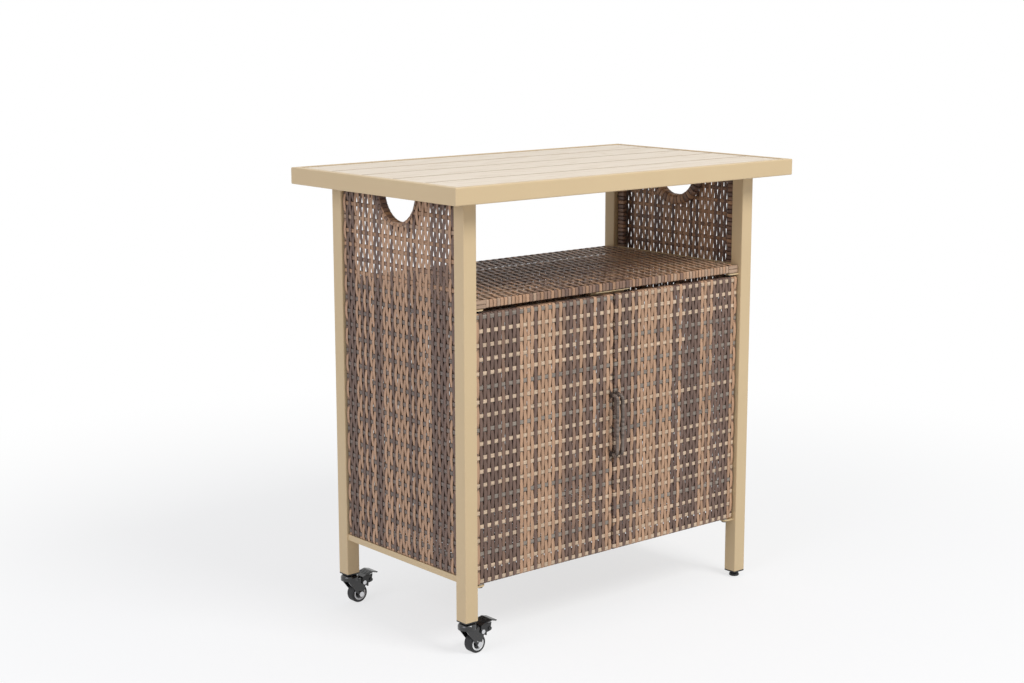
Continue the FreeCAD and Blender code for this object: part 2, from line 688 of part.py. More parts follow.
def make_door_stop():
    """A folded strip under the shelf's front edge that both doors close against."""
    body = new_body("door_stop")
    section = new_sketch(body, "stop_section", "YZ_Plane", "-Sizes.stop_half_width")
    face = f"-({DOOR_BACK} - Sizes.magnet_height - Sizes.washer_gap)"
    rear = f"({face} + Sizes.stop_sheet)"
    tip = f"-({DOOR_FRONT} - Sizes.stop_setback)"
    under = f"({SHELF_BOTTOM} - Sizes.stop_sheet)"
    low = f"({SHELF_BOTTOM} - Sizes.stop_drop)"
    corners = [(face, low), (rear, low), (rear, SHELF_BOTTOM),
               (tip, SHELF_BOTTOM), (tip, under), (face, under)]
    draw_line_loop(section, corners)
    pad(body, section, "2 * Sizes.stop_half_width")
    return keep(body)


def make_door(name, side):
    """A woven door on its tube frame, drilled top and bottom for its bushings, with its handle and magnet."""
    near = f"{side} * Sizes.door_split / 2"
    far = f"{side} * {DOOR_OUTER}"
    left, right = (far, near) if side < 0 else (near, far)
    limits = (left, "Sizes.door_bottom", right, DOOR_TOP)
    pin = f"{side} * {HINGE_X}"
    circles = [(pin, f"-{HINGE_Y}", "Sizes.bushing_radius + Sizes.fit_clearance")]
    drills = [("XY_Plane", "Sizes.door_bottom", True, circles), ("XY_Plane", DOOR_TOP, False, circles)]
    make_woven_panel(name, "XZ_Plane", limits, DOOR_BACK, 1, "Sizes.door_thickness", False, drills)

    bushings = new_body(f"{name}_bushings")
    rings = ((f"{name}_low_bush", "Sizes.door_bottom", False), (f"{name}_high_bush", DOOR_TOP, True))
    for label, height, downwards in rings:
        ring = new_sketch(bushings, label, "XY_Plane", height)
        draw_circle(ring, pin, f"-{HINGE_Y}", "Sizes.bushing_radius")
        draw_circle(ring, pin, f"-{HINGE_Y}", "Sizes.hinge_pin_radius + Sizes.hinge_clearance")
        pad(bushings, ring, "Sizes.bushing_length", backwards=downwards)
    keep(bushings)

    magnet = new_body(f"{name}_magnet")
    disc = new_sketch(magnet, f"{name}_magnet_disc", "XZ_Plane", DOOR_BACK)
    height = f"{DOOR_TOP} - Sizes.weave - Sizes.magnet_radius"
    draw_circle(disc, f"{side} * Sizes.magnet_offset", height, "Sizes.magnet_radius")
    pad(magnet, disc, "Sizes.magnet_height", backwards=True)
    keep(magnet)
    make_handle(f"{name}_handle", side)


def make_handle(label, side):
    """A C-shaped wrapped bar beside the split, with a collar where each end meets the door."""
    place = f"{side} * (Sizes.door_split / 2 + Sizes.handle_inset)"
    body = new_body(label, x=place, y=f"-{DOOR_FRONT}")
    path = new_sketch(body, f"{label}_path", "YZ_Plane")
    out = "-Sizes.handle_reach"
    turn = "(Sizes.handle_reach - Sizes.handle_bend)"
    corners = [
        ("0", "Sizes.handle_low"),
        (f"-{turn}", "Sizes.handle_low", "Sizes.handle_bend", -1),
        (out, "Sizes.handle_low + Sizes.handle_bend"),
        (out, "Sizes.handle_high - Sizes.handle_bend", "Sizes.handle_bend", -1),
        (f"-{turn}", "Sizes.handle_high"),
        ("0", "Sizes.handle_high"),
    ]
    draw_line_loop(path, corners, closed=False)
    section = new_sketch(body, f"{label}_section", "XZ_Plane")
    draw_circle(section, "0", "Sizes.handle_low", "Sizes.handle_radius")
    doc.recompute()
    bar = body.newObject("PartDesign::AdditivePipe", f"{label}_bar")
    bar.Profile = section
    bar.Spine = (path, [])
    collars = new_sketch(body, f"{label}_collars", "XZ_Plane")
    for height in ("Sizes.handle_low", "Sizes.handle_high"):
        draw_circle(collars, "0", height, "Sizes.collar_radius")
    pad(body, collars, "Sizes.collar_length")
    return keep(body)


def make_leg_plug(label, x, y, leg_bottom, flange, depth, bore):
    """A square plastic plug in the end of a leg, with a flange under the leg's end and a round bore."""
    body = new_body(label, x, y, leg_bottom)
    outer = new_sketch(body, f"{label}_flange", "XY_Plane")
    half = "Sizes.leg_side / 2"
    draw_box(outer, f"-{half}", f"-{half}", half, half)
    rim = pad(body, outer, flange, backwards=True)

    def is_upright(edge):
        return edge.BoundBox.XLength + edge.BoundBox.YLength < 0.001

    round_edges(body, rim, "Sizes.leg_edge", is_upright)
    inner = new_sketch(body, f"{label}_shank", "XY_Plane")
    half_bore = f"{LEG_BORE} / 2"
    draw_box(inner, f"-{half_bore}", f"-{half_bore}", half_bore, half_bore)
    pad(body, inner, depth)
    hole = new_sketch(body, f"{label}_bore", "XY_Plane", f"-{flange}")
    draw_circle(hole, "0", "0", bore)
    pocket(body, hole, f"{flange} + {depth}", forwards=True)
    return keep(body)


def make_caster(name, face):
    """A swivel caster with a foot brake under a left leg: its stem stays with the leg, the fork turns about
    it, the wheel runs between the fork's cheeks and the pedal rocks on a rivet ahead of the wheel."""
    x = f"-{LEG_X}"
    y = f"{face} * {LEG_Y}"
    bore = "Sizes.stem_radius + Sizes.fit_clearance"
    depth = "Sizes.socket_depth"
    make_leg_plug(f"{name}_socket", x, y, "Sizes.caster_leg_lift", "Sizes.socket_flange", depth, bore)

    stem = new_body(f"{name}_stem", x, y)
    profile = new_sketch(stem, f"{name}_stem_profile", "XZ_Plane")
    head_top = f"({DOME_CEILING} - Sizes.raceway_gap)"
    collar_bottom = f"({DOME_TOP} + Sizes.raceway_gap)"
    head_bottom = f"({head_top} - Sizes.stem_head_height)"
    corners = [
        ("0", head_bottom),
        ("Sizes.stem_head_radius - Sizes.stem_head_bevel", head_bottom),
        ("Sizes.stem_head_radius", f"{head_bottom} + Sizes.stem_head_bevel"),
        ("Sizes.stem_head_radius", head_top),
        ("Sizes.stem_radius", head_top),
        ("Sizes.stem_radius", collar_bottom),
        ("Sizes.stem_collar_radius", collar_bottom),
        ("Sizes.stem_collar_radius", SOCKET_BOTTOM),
        ("Sizes.stem_radius", SOCKET_BOTTOM),
        ("Sizes.stem_radius", f"{SOCKET_BOTTOM} + Sizes.stem_length"),
        ("0", f"{SOCKET_BOTTOM} + Sizes.stem_length"),
    ]
    draw_line_loop(profile, corners)
    spin(stem, profile, "Z_Axis")
    keep(stem)
    make_fork(f"{name}_fork", x, y)
    make_axle(f"{name}_axle", x, y)
    make_wheel(name, x, y)
    make_pedal(f"{name}_pedal", x, y)


def make_fork(label, x, y):
    """The pressed steel fork: a domed swivel housing, two tapering cheeks and the yoke that joins them."""
    body = new_body(label, x, y)
    dome = new_sketch(body, f"{label}_dome", "XZ_Plane")
    bore = "Sizes.stem_radius + Sizes.swivel_clearance"
    skirt = "Sizes.dome_radius - Sizes.dome_skirt"
    corners = [
        (bore, DOME_CEILING),
        (skirt, DOME_CEILING),
        (skirt, DOME_BOTTOM),
        ("Sizes.dome_radius", DOME_BOTTOM),
        ("Sizes.dome_radius", f"{DOME_TOP} - Sizes.dome_shoulder", "Sizes.dome_round", 1),
        ("Sizes.dome_crown_radius", DOME_TOP),
        (bore, DOME_TOP),
    ]
    draw_line_loop(dome, corners)
    spin(body, dome, "Z_Axis")

    foot = "Sizes.fork_foot_radius"
    axle_height = "Sizes.wheel_radius"
    front = "(Sizes.trail + Sizes.fork_front)"
    cheek_top = f"({DOME_CEILING} - Sizes.cheek_drop)"
    for index, way in enumerate((-1, 1)):
        cheek = new_sketch(body, f"{label}_cheek_{index}", "XZ_Plane", f"{way} * {CHEEK_INNER}")
        corners = [
            ("-Sizes.fork_back", cheek_top),
            ("-Sizes.fork_back", f"{cheek_top} - Sizes.cheek_shoulder"),
            (f"Sizes.trail - {foot}", axle_height),
            (f"Sizes.trail + {foot}", axle_height),
            (front, "Sizes.pedal_pivot_height - Sizes.rivet_head_radius - Sizes.cheek_margin"),
            (front, cheek_top),
        ]
        draw_line_loop(cheek, corners)
        pad(body, cheek, "Sizes.fork_sheet", backwards=way < 0)
        knuckle = new_sketch(body, f"{label}_knuckle_{index}", "XZ_Plane", f"{way} * {CHEEK_INNER}")
        draw_circle(knuckle, "Sizes.trail", axle_height, foot)
        pad(body, knuckle, "Sizes.fork_sheet", backwards=way < 0)
    yoke = new_sketch(body, f"{label}_yoke", "XY_Plane", f"{cheek_top} - Sizes.fork_sheet")
    draw_box(yoke, "-Sizes.fork_back", f"-{CHEEK_OUTER}", "Sizes.fork_back", CHEEK_OUTER)
    pad(body, yoke, "Sizes.fork_sheet + Sizes.cheek_drop")
    room = new_sketch(body, f"{label}_room", "XY_Plane", f"{cheek_top} - Sizes.fork_sheet")
    draw_circle(room, "0", "0", "Sizes.stem_head_radius + Sizes.raceway_gap")
    pocket(body, room, "Sizes.fork_sheet + Sizes.cheek_drop", forwards=True)
    holes = new_sketch(body, f"{label}_holes", "XZ_Plane", f"-{CHEEK_OUTER}")
    draw_circle(holes, "Sizes.trail", axle_height, "Sizes.axle_radius + Sizes.fit_clearance")
    pivot = ("Sizes.pedal_pivot_ahead", "Sizes.pedal_pivot_height")
    draw_circle(holes, *pivot, "Sizes.rivet_radius + Sizes.fit_clearance")
    pocket(body, holes, f"2 * {CHEEK_OUTER}", forwards=True)
    return keep(body)


def make_axle(label, x, y):
    """The axle bolt with its head and domed nut, and the rivet on which the pedal rocks."""
    body = new_body(label, x, y)
    pivot = ("Sizes.pedal_pivot_ahead", "Sizes.pedal_pivot_height")
    rivet_end = f"({EAR_OUTER} + Sizes.rivet_gap)"
    bolt = new_sketch(body, f"{label}_bolt", "XZ_Plane", f"-{CHEEK_OUTER}")
    draw_circle(bolt, "Sizes.trail", "Sizes.wheel_radius", "Sizes.axle_radius")
    pad(body, bolt, f"2 * {CHEEK_OUTER}")
    for index, way in enumerate((-1, 1)):
        cap = new_sketch(body, f"{label}_cap_{index}", "XZ_Plane", f"{way} * {CHEEK_OUTER}")
        draw_circle(cap, "Sizes.trail", "Sizes.wheel_radius", "Sizes.axle_nut_radius")
        pad(body, cap, "Sizes.axle_nut_height", backwards=way < 0)
        button = new_sketch(body, f"{label}_button_{index}", "XZ_Plane", f"{way} * {rivet_end}")
        draw_circle(button, *pivot, "Sizes.rivet_head_radius")
        pad(body, button, "Sizes.rivet_head_height", backwards=way < 0)
    rivet = new_sketch(body, f"{label}_rivet", "XZ_Plane", f"-{rivet_end}")
    draw_circle(rivet, *pivot, "Sizes.rivet_radius")
    pad(body, rivet, f"2 * {rivet_end}")
    return keep(body)


def make_wheel(name, x, y):
    """The rubber tyre and the hub that carries it, which has a raised ring on each side and a boss on the
    axle."""
    place = (f"{x} + Sizes.trail", y, "Sizes.wheel_radius")
    half = "Sizes.tyre_width / 2"
    tyre = new_body(f"{name}_tyre", *place)
    tread = new_sketch(tyre, f"{name}_tread", "YZ_Plane")
    corners = [
        (f"-{half}", "Sizes.hub_radius"),
        (half, "Sizes.hub_radius"),
        (half, "Sizes.wheel_radius - Sizes.tyre_edge", "Sizes.tyre_edge", 1),
        (f"{half} - Sizes.tyre_edge", "Sizes.wheel_radius"),
        (f"-({half} - Sizes.tyre_edge)", "Sizes.wheel_radius", "Sizes.tyre_edge", 1),
        (f"-{half}", "Sizes.wheel_radius - Sizes.tyre_edge"),
    ]
    draw_line_loop(tread, corners)
    spin(tyre, tread, "Y_Axis")
    keep(tyre)

    hub = new_body(f"{name}_hub", *place)
    core = new_sketch(hub, f"{name}_core", "YZ_Plane")
    rim = "(Sizes.hub_radius - Sizes.hub_ring)"
    web = f"({half} - Sizes.hub_recess)"
    boss = f"({half} + Sizes.wheel_gap)"
    bore = "Sizes.axle_radius + Sizes.axle_clearance"
    right = [
        (boss, bore),
        (boss, "Sizes.hub_boss_radius"),
        (web, "Sizes.hub_boss_radius"),
        (web, rim),
        (half, rim),
        (half, "Sizes.hub_radius"),
    ]
    left = [(f"-{across}", radius) for across, radius in reversed(right)]
    draw_line_loop(core, right + left)
    spin(hub, core, "Y_Axis")
    keep(hub)


def make_pedal(label, x, y):
    """The brake pedal: a bent plate with grip ribs and a lip, an ear each side of the fork on the rivet, and
    the tooth that the pedal swings down on to the tyre."""
    body = new_body(label, x, y)
    pivot_x = "Sizes.pedal_pivot_ahead"
    pivot_z = "Sizes.pedal_pivot_height"
    plate_sheet = "Sizes.pedal_sheet"
    heel = f"({pivot_x} - Sizes.pedal_heel)"
    heel_low = "(Sizes.pedal_rise - Sizes.pedal_heel_drop)"
    crease = f"({pivot_x} + Sizes.pedal_crease)"
    crease_low = "(Sizes.pedal_rise - Sizes.pedal_crease_drop)"
    crown = "(Sizes.pedal_reach - Sizes.pedal_lip)"
    crown_low = "(Sizes.pedal_rise + Sizes.pedal_crown)"
    lip_low = "(Sizes.pedal_rise - Sizes.pedal_lip_drop)"
    plate = new_sketch(body, f"{label}_plate", "XZ_Plane", f"-{EAR_OUTER}")
    corners = [
        (heel, heel_low),
        (crown, crown_low),
        (f"Sizes.pedal_reach - {plate_sheet}", lip_low),
        ("Sizes.pedal_reach", f"{lip_low} + {plate_sheet}"),
        (crown, f"{crown_low} + {plate_sheet}"),
        (crease, f"{crease_low} + {plate_sheet}"),
        (heel, f"{heel_low} + {plate_sheet}"),
    ]
    draw_line_loop(plate, corners)
    pad(body, plate, f"2 * {EAR_OUTER}")
    rib_reach = f"({EAR_OUTER} - Sizes.rib_setback)"
    for index in range(int(number("Sizes.rib_count"))):
        rib = new_sketch(body, f"{label}_rib_{index}", "XZ_Plane", f"-{rib_reach}")
        start = f"({crease} + {index} * Sizes.rib_pitch)"
        low = f"({crease_low} + {index} * Sizes.rib_climb)"
        draw_box(rib, start, low, f"{start} + Sizes.rib_width", f"{low} + {plate_sheet} + Sizes.rib_height")
        pad(body, rib, f"2 * {rib_reach}")

    ear_front = f"({pivot_x} + Sizes.ear_front)"
    ear_shoulder = f"({pivot_z} - Sizes.ear_shoulder)"
    ear_top = "(Sizes.pedal_rise - Sizes.ear_lap)"
    second_rivet = (f"{pivot_x} + Sizes.ear_rivet_ahead", f"{pivot_z} + Sizes.ear_rivet_rise")
    for index, way in enumerate((-1, 1)):
        ear = new_sketch(body, f"{label}_ear_{index}", "XZ_Plane", f"{way} * {EAR_INNER}")
        corners = [
            (f"{pivot_x} - Sizes.ear_back", ear_shoulder),
            (pivot_x, f"{pivot_z} - Sizes.ear_drop"),
            (ear_front, ear_shoulder),
            (f"{ear_front} + Sizes.ear_lean", ear_top),
            (heel, f"{heel_low} + Sizes.ear_lap"),
        ]
        draw_line_loop(ear, corners)
        pad(body, ear, plate_sheet, backwards=way < 0)
        button = new_sketch(body, f"{label}_button_{index}", "XZ_Plane", f"{way} * {EAR_OUTER}")
        draw_circle(button, *second_rivet, "Sizes.ear_rivet_radius")
        pad(body, button, "Sizes.rivet_head_height", backwards=way < 0)
    bore = new_sketch(body, f"{label}_bore", "XZ_Plane", f"-{EAR_OUTER}")
    draw_circle(bore, pivot_x, pivot_z, "Sizes.rivet_radius + Sizes.axle_clearance")
    pocket(body, bore, f"2 * {EAR_OUTER}", forwards=True)

    tooth = new_sketch(body, f"{label}_tooth", "XZ_Plane", "-Sizes.tooth_half_width")
    root = f"({pivot_x} + Sizes.tooth_root_ahead)"
    corners = [
        (root, ear_top),
        (root, pivot_z),
        ("Sizes.tooth_tip_ahead", "Sizes.tooth_tip_height"),
        ("Sizes.tooth_tip_ahead + Sizes.tooth_tip_width", "Sizes.tooth_tip_height"),
        (ear_front, ear_top),
    ]
    draw_line_loop(tooth, corners)
    pad(body, tooth, "2 * Sizes.tooth_half_width")
    return keep(body)


def make_foot(name, face):
    """A levelling foot under a right leg: a round pad on a stud that screws up into the leg's plug."""
    x = LEG_X
    y = f"{face} * {LEG_Y}"
    bore = "Sizes.foot_stud_radius + Sizes.thread_clearance"
    make_leg_plug(f"{name}_plug", x, y, "Sizes.foot_leg_lift", "Sizes.plug_flange", "Sizes.plug_depth", bore)
    foot = new_body(name, x, y)
    profile = new_sketch(foot, f"{name}_profile", "XZ_Plane")
    top = "(Sizes.foot_pad + Sizes.foot_cone)"
    corners = [
        ("0", "0"),
        ("Sizes.foot_radius - Sizes.foot_bevel", "0"),
        ("Sizes.foot_radius", "Sizes.foot_bevel"),
        ("Sizes.foot_radius", "Sizes.foot_pad"),
        ("Sizes.foot_neck_radius", top),
        ("Sizes.foot_stud_radius", top),
        ("Sizes.foot_stud_radius", f"{top} + Sizes.foot_stud_length"),
        ("0", f"{top} + Sizes.foot_stud_length"),
    ]
    draw_line_loop(profile, corners)
    spin(foot, profile, "Z_Axis")
    return keep(foot)


make_tabletop_frame()
make_planks()
make_cross_rails()
make_leg("leg_front_left", -1, -1, "Sizes.caster_leg_lift")
make_leg("leg_back_left", -1, 1, "Sizes.caster_leg_lift")
make_leg("leg_front_right", 1, -1, "Sizes.foot_leg_lift")
make_leg("leg_back_right", 1, 1, "Sizes.foot_leg_lift")
make_side_panel("side_left", -1)
make_side_panel("side_right", 1)
make_back_panel()
make_shelf()
make_floor()
make_panel_studs()
make_bottom_rail("bottom_rail_left", -1)
make_bottom_rail("bottom_rail_right", 1)
make_shelf_ledges()
make_hinge_brackets()
make_hinge_pins()
make_door_stop()
make_door("door_left", -1)
make_door("door_right", 1)
make_caster("caster_front", -1)
make_caster("caster_back", 1)
make_foot("foot_front", -1)
make_foot("foot_back", 1)
doc.recompute()

for item in doc.Objects:
    if "Invalid" in item.State or "Error" in item.State:
        raise RuntimeError(f"{item.Name} did not rebuild: {item.State}")
    if item.TypeId == "PartDesign::Pocket":
        before = item.BaseFeature.Shape.Volume
        if item.Shape.Volume > before - LEAST_CUT:
            raise RuntimeError(f"{item.Name} cuts nothing")
for piece in nodes:
    if piece.Shape.isNull() or not piece.Shape.isValid():
        raise RuntimeError(f"{piece.Label} has no sound shape")

os.makedirs("parts", exist_ok=True)
for piece in nodes:
    piece.Shape.exportStep(f"parts/{piece.Label}.step")
print(f"{len(nodes)} parts written")
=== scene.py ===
"""A grill cart with a plank top, a shelf and a cupboard, in tan painted tube and woven strands.

Everything is in metres. The origin is on the floor under the middle of the top, +X is to the right,
the doors face -Y and +Z is up. The sections follow the cart as it is put together.
"""
import math

import bpy
import numpy as np
from mathutils import Matrix, Vector


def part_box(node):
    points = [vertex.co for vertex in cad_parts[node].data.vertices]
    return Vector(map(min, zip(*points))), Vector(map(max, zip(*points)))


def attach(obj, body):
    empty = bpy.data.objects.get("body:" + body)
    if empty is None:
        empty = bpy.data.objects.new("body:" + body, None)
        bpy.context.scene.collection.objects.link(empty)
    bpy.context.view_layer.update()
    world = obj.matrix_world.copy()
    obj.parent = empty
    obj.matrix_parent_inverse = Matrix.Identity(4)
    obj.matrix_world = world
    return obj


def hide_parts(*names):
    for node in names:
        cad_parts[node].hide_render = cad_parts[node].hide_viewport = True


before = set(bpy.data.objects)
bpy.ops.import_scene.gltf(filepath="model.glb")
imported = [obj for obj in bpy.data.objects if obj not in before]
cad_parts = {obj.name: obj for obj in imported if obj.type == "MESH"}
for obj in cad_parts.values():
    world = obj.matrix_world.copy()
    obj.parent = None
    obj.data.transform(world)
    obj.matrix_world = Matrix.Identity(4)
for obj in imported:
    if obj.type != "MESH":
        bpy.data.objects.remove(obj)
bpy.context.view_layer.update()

# Camera
# A studio camera at chest height, in front of the cart and well to its left. It looks a little
# down, with a long lens, so the cart's verticals stay upright.
IMAGE_WIDTH = 1024
FOCAL_PIXELS = 1807.13
SENSOR_WIDTH = 36.0
CAMERA_PLACE = Vector((-2.4144, -2.7500, 1.2308))
CAMERA_YAW, CAMERA_PITCH, CAMERA_ROLL = 0.7009, 0.1883, -0.0013
CAMERA_SHIFT_PIXELS = (-0.3, -0.7)

look = Vector((math.sin(CAMERA_YAW) * math.cos(CAMERA_PITCH),
               math.cos(CAMERA_YAW) * math.cos(CAMERA_PITCH), -math.sin(CAMERA_PITCH)))
level_right = Vector((math.cos(CAMERA_YAW), -math.sin(CAMERA_YAW), 0.0))
level_up = level_right.cross(look)
camera_right = level_right * math.cos(CAMERA_ROLL) + level_up * math.sin(CAMERA_ROLL)
camera_up = level_up * math.cos(CAMERA_ROLL) - level_right * math.sin(CAMERA_ROLL)

camera_data = bpy.data.cameras.new("camera")
camera_data.sensor_width = SENSOR_WIDTH
camera_data.lens = FOCAL_PIXELS / IMAGE_WIDTH * SENSOR_WIDTH
camera_data.shift_x = CAMERA_SHIFT_PIXELS[0] / IMAGE_WIDTH
camera_data.shift_y = CAMERA_SHIFT_PIXELS[1] / IMAGE_WIDTH
camera_data.clip_end = 100.0
camera = bpy.data.objects.new("camera", camera_data)
axes = Matrix((camera_right, camera_up, -look)).transposed()
camera.matrix_world = Matrix.Translation(CAMERA_PLACE) @ axes.to_4x4()
bpy.context.scene.collection.objects.link(camera)
bpy.context.scene.camera = camera
bpy.context.scene.view_settings.view_transform = "Standard"

# Studio
# A pale seamless floor under large soft lamps. The camera sees the floor and the world as white,
# apart from the shadow that the cart leaves.
FLOOR_HALF = 30.0
FLOOR_COLOUR = (0.80, 0.80, 0.80, 1.0)
FLOOR_SEEN = (0.30, 0.30, 0.30, 1.0)
FLOOR_GLOW = 0.69
SHADOW_REACH = (0.7, 2.2)
WORLD_LIGHT = (0.38, 0.39, 0.41, 1.0)


def linear(red, green, blue):
    """A colour written in screen values from 0 to 255, as the linear colour that a shader takes."""
    screen = np.array([red, green, blue]) / 255.0
    mixed = np.where(screen <= 0.04045, screen / 12.92, ((screen + 0.055) / 1.055) ** 2.4)
    return (*[float(value) for value in mixed], 1.0)


def new_material(name):
    """A material with its node tree and the shader of its surface."""
    material = bpy.data.materials.new(name)
    material.use_nodes = True
    tree = material.node_tree
    tree.nodes.clear()
    output = tree.nodes.new("ShaderNodeOutputMaterial")
    shader = tree.nodes.new("ShaderNodeBsdfPrincipled")
    tree.links.new(shader.outputs["BSDF"], output.inputs["Surface"])
    return material, tree, shader


def add_node(tree, kind, settings=None, inputs=None):
    """A node of one kind, with its own settings and the values or links of its inputs."""
    node = tree.nodes.new("ShaderNode" + kind)
    for name, value in (settings or {}).items():
        setattr(node, name, value)
    for name, value in (inputs or {}).items():
        if isinstance(value, bpy.types.NodeSocket):
            tree.links.new(value, node.inputs[name])
        else:
            node.inputs[name].default_value = value
    return node


def directly_seen(tree):
    """A socket that is 1 for rays from the camera, from a mirror or through glass, and 0 for the
    rays that light the cart."""
    path = add_node(tree, "LightPath")
    mirrored = add_node(tree, "Math", {"operation": "ADD", "use_clamp": True},
                        {0: path.outputs["Is Camera Ray"], 1: path.outputs["Is Glossy Ray"]})
    through = add_node(tree, "Math", {"operation": "ADD", "use_clamp": True},
                       {0: mirrored.outputs[0], 1: path.outputs["Is Transmission Ray"]})
    return through.outputs[0]


floor_mesh = bpy.data.meshes.new("studio_floor")
floor_mesh.from_pydata([(-FLOOR_HALF, -FLOOR_HALF, 0), (FLOOR_HALF, -FLOOR_HALF, 0),
                        (FLOOR_HALF, FLOOR_HALF, 0), (-FLOOR_HALF, FLOOR_HALF, 0)], [],
                       [(0, 1, 2, 3)])
floor = bpy.data.objects.new("studio_floor", floor_mesh)
bpy.context.scene.collection.objects.link(floor)
floor_material, tree, shader = new_material("studio_floor")
shader.inputs["Base Color"].default_value = FLOOR_COLOUR
shader.inputs["Roughness"].default_value = 0.9
shader.inputs["Specular IOR Level"].default_value = 0.1
seen = directly_seen(tree)
pale = add_node(tree, "BsdfDiffuse", inputs={"Color": FLOOR_SEEN})
glow = add_node(tree, "Emission", inputs={"Color": (1.0, 1.0, 1.0, 1.0), "Strength": FLOOR_GLOW})
lit = add_node(tree, "AddShader", inputs={0: pale.outputs[0], 1: glow.outputs[0]})
white = add_node(tree, "Emission", inputs={"Color": (1.0, 1.0, 1.0, 1.0), "Strength": 1.0})
floor_place = add_node(tree, "TexCoord")
away = add_node(tree, "VectorMath", {"operation": "LENGTH"}, {0: floor_place.outputs["Object"]})
blend = add_node(tree, "MapRange", {"interpolation_type": "SMOOTHSTEP"},
                 {"Value": away.outputs["Value"], "From Min": SHADOW_REACH[0],
                  "From Max": SHADOW_REACH[1]})
faded = add_node(tree, "MixShader", inputs={0: blend.outputs[0], 1: lit.outputs[0],
                                            2: white.outputs[0]})
floor_mix = add_node(tree, "MixShader", inputs={0: seen, 1: shader.outputs[0],
                                                2: faded.outputs[0]})
tree.links.new(floor_mix.outputs[0], tree.nodes["Material Output"].inputs["Surface"])
floor_mesh.materials.append(floor_material)

world = bpy.data.worlds.new("studio")
world.use_nodes = True
tree = world.node_tree
tree.nodes.clear()
surround = add_node(tree, "Background", inputs={"Color": WORLD_LIGHT, "Strength": 1.0})
backdrop = add_node(tree, "Background", inputs={"Color": (1.0, 1.0, 1.0, 1.0), "Strength": 1.0})
world_mix = add_node(tree, "MixShader", inputs={0: directly_seen(tree), 1: surround.outputs[0],
                                                2: backdrop.outputs[0]})
add_node(tree, "OutputWorld", inputs={"Surface": world_mix.outputs[0]})
bpy.context.scene.world = world

LAMP_TARGET = Vector((0.0, 0.0, 0.45))
LAMPS = {
    "front_lamp": {"place": (0.6, -3.6, 4.2), "size": 2.0, "power": 142.0,
                   "tint": (1.0, 1.0, 1.0)},
    "left_lamp": {"place": (-3.8, -0.6, 2.4), "size": 2.4, "power": 43.0,
                  "tint": (0.97, 0.98, 1.12)},
    "top_lamp": {"place": (0.8, 0.8, 4.2), "size": 2.4, "power": 6.0,
                 "tint": (1.0, 1.0, 1.0)},
}
for lamp_name, lamp in LAMPS.items():
    lamp_data = bpy.data.lights.new(lamp_name, "AREA")
    lamp_data.size = lamp["size"]
    lamp_data.energy = lamp["power"]
    lamp_data.color = lamp["tint"]
    lamp_object = bpy.data.objects.new(lamp_name, lamp_data)
    lamp_object.location = lamp["place"]
    aim = LAMP_TARGET - lamp_object.location
    lamp_object.rotation_euler = aim.to_track_quat("-Z", "Y").to_euler()
    bpy.context.scene.collection.objects.link(lamp_object)

# Painted tube frame
# Square and rectangular steel tube, welded, and powder coated in a warm champagne tan. The coat is
# satin, with the fine dimpled skin that baked powder has.
COAT_COLOUR = linear(222, 197, 155)
COAT_SHADE = linear(214, 188, 146)
DIMPLE_SCALE = 620.0
PAINTED_NODES = ["leg_front_left", "leg_back_left", "leg_front_right", "leg_back_right",
                 "tabletop_frame", "cross_rails", "bottom_rail_left", "bottom_rail_right",
                 "shelf_ledges", "hinge_brackets", "door_stop"]


def finish_node(node, material):
    """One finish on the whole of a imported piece."""
    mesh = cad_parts[node].data
    mesh.materials.clear()
    mesh.materials.append(material)


powder_coat, tree, shader = new_material("powder_coat")
place = add_node(tree, "TexCoord")
drift = add_node(tree, "TexNoise", inputs={"Vector": place.outputs["Object"], "Scale": 7.0,
                                           "Detail": 3.0})
shade = add_node(tree, "MixRGB", inputs={"Fac": drift.outputs["Fac"], "Color1": COAT_SHADE,
                                         "Color2": COAT_COLOUR})
tree.links.new(shade.outputs[0], shader.inputs["Base Color"])
dimple = add_node(tree, "TexNoise", inputs={"Vector": place.outputs["Object"],
                                            "Scale": DIMPLE_SCALE, "Detail": 2.0})
skin = add_node(tree, "Bump", inputs={"Height": dimple.outputs["Fac"], "Strength": 0.12,
                                      "Distance": 0.0006})
tree.links.new(skin.outputs[0], shader.inputs["Normal"])
gloss = add_node(tree, "MapRange", inputs={"Value": drift.outputs["Fac"], "To Min": 0.38,
                                           "To Max": 0.50})
tree.links.new(gloss.outputs[0], shader.inputs["Roughness"])
shader.inputs["Specular IOR Level"].default_value = 0.45
for node in PAINTED_NODES:
    finish_node(node, powder_coat)

# Planks
# Five folded aluminium planks side by side in the apron, printed with a pale limed-oak grain that
# runs along the cart. Each plank shows its own stretch of grain. Painted shade lines its long
# edges, for the shadow in the grooves between planks.
PLANK_PITCH = 0.0988
PLANK_PALE = linear(239, 225, 205)
PLANK_GRAIN = linear(203, 180, 146)
# Painted shade: the colour of the line along each plank's long edges, for the groove's shadow.
PLANK_GROOVE_SHADE = linear(164, 138, 106)
PLANK_NODES = ["plank_1", "plank_2", "plank_3", "plank_4", "plank_5"]
GRAIN_SLIDE, GRAIN_RISE = 1.37, 0.61
GRAIN_RINGS = 62.0
PORES_IN_RING, PORES_BETWEEN = 0.55, 0.12
RING_INK = 0.18
# Painted groove shade starts and is full at these shares of the pitch from a plank's middle.
GROOVE_SHADE_START, GROOVE_SHADE_FULL = 0.466, 0.480

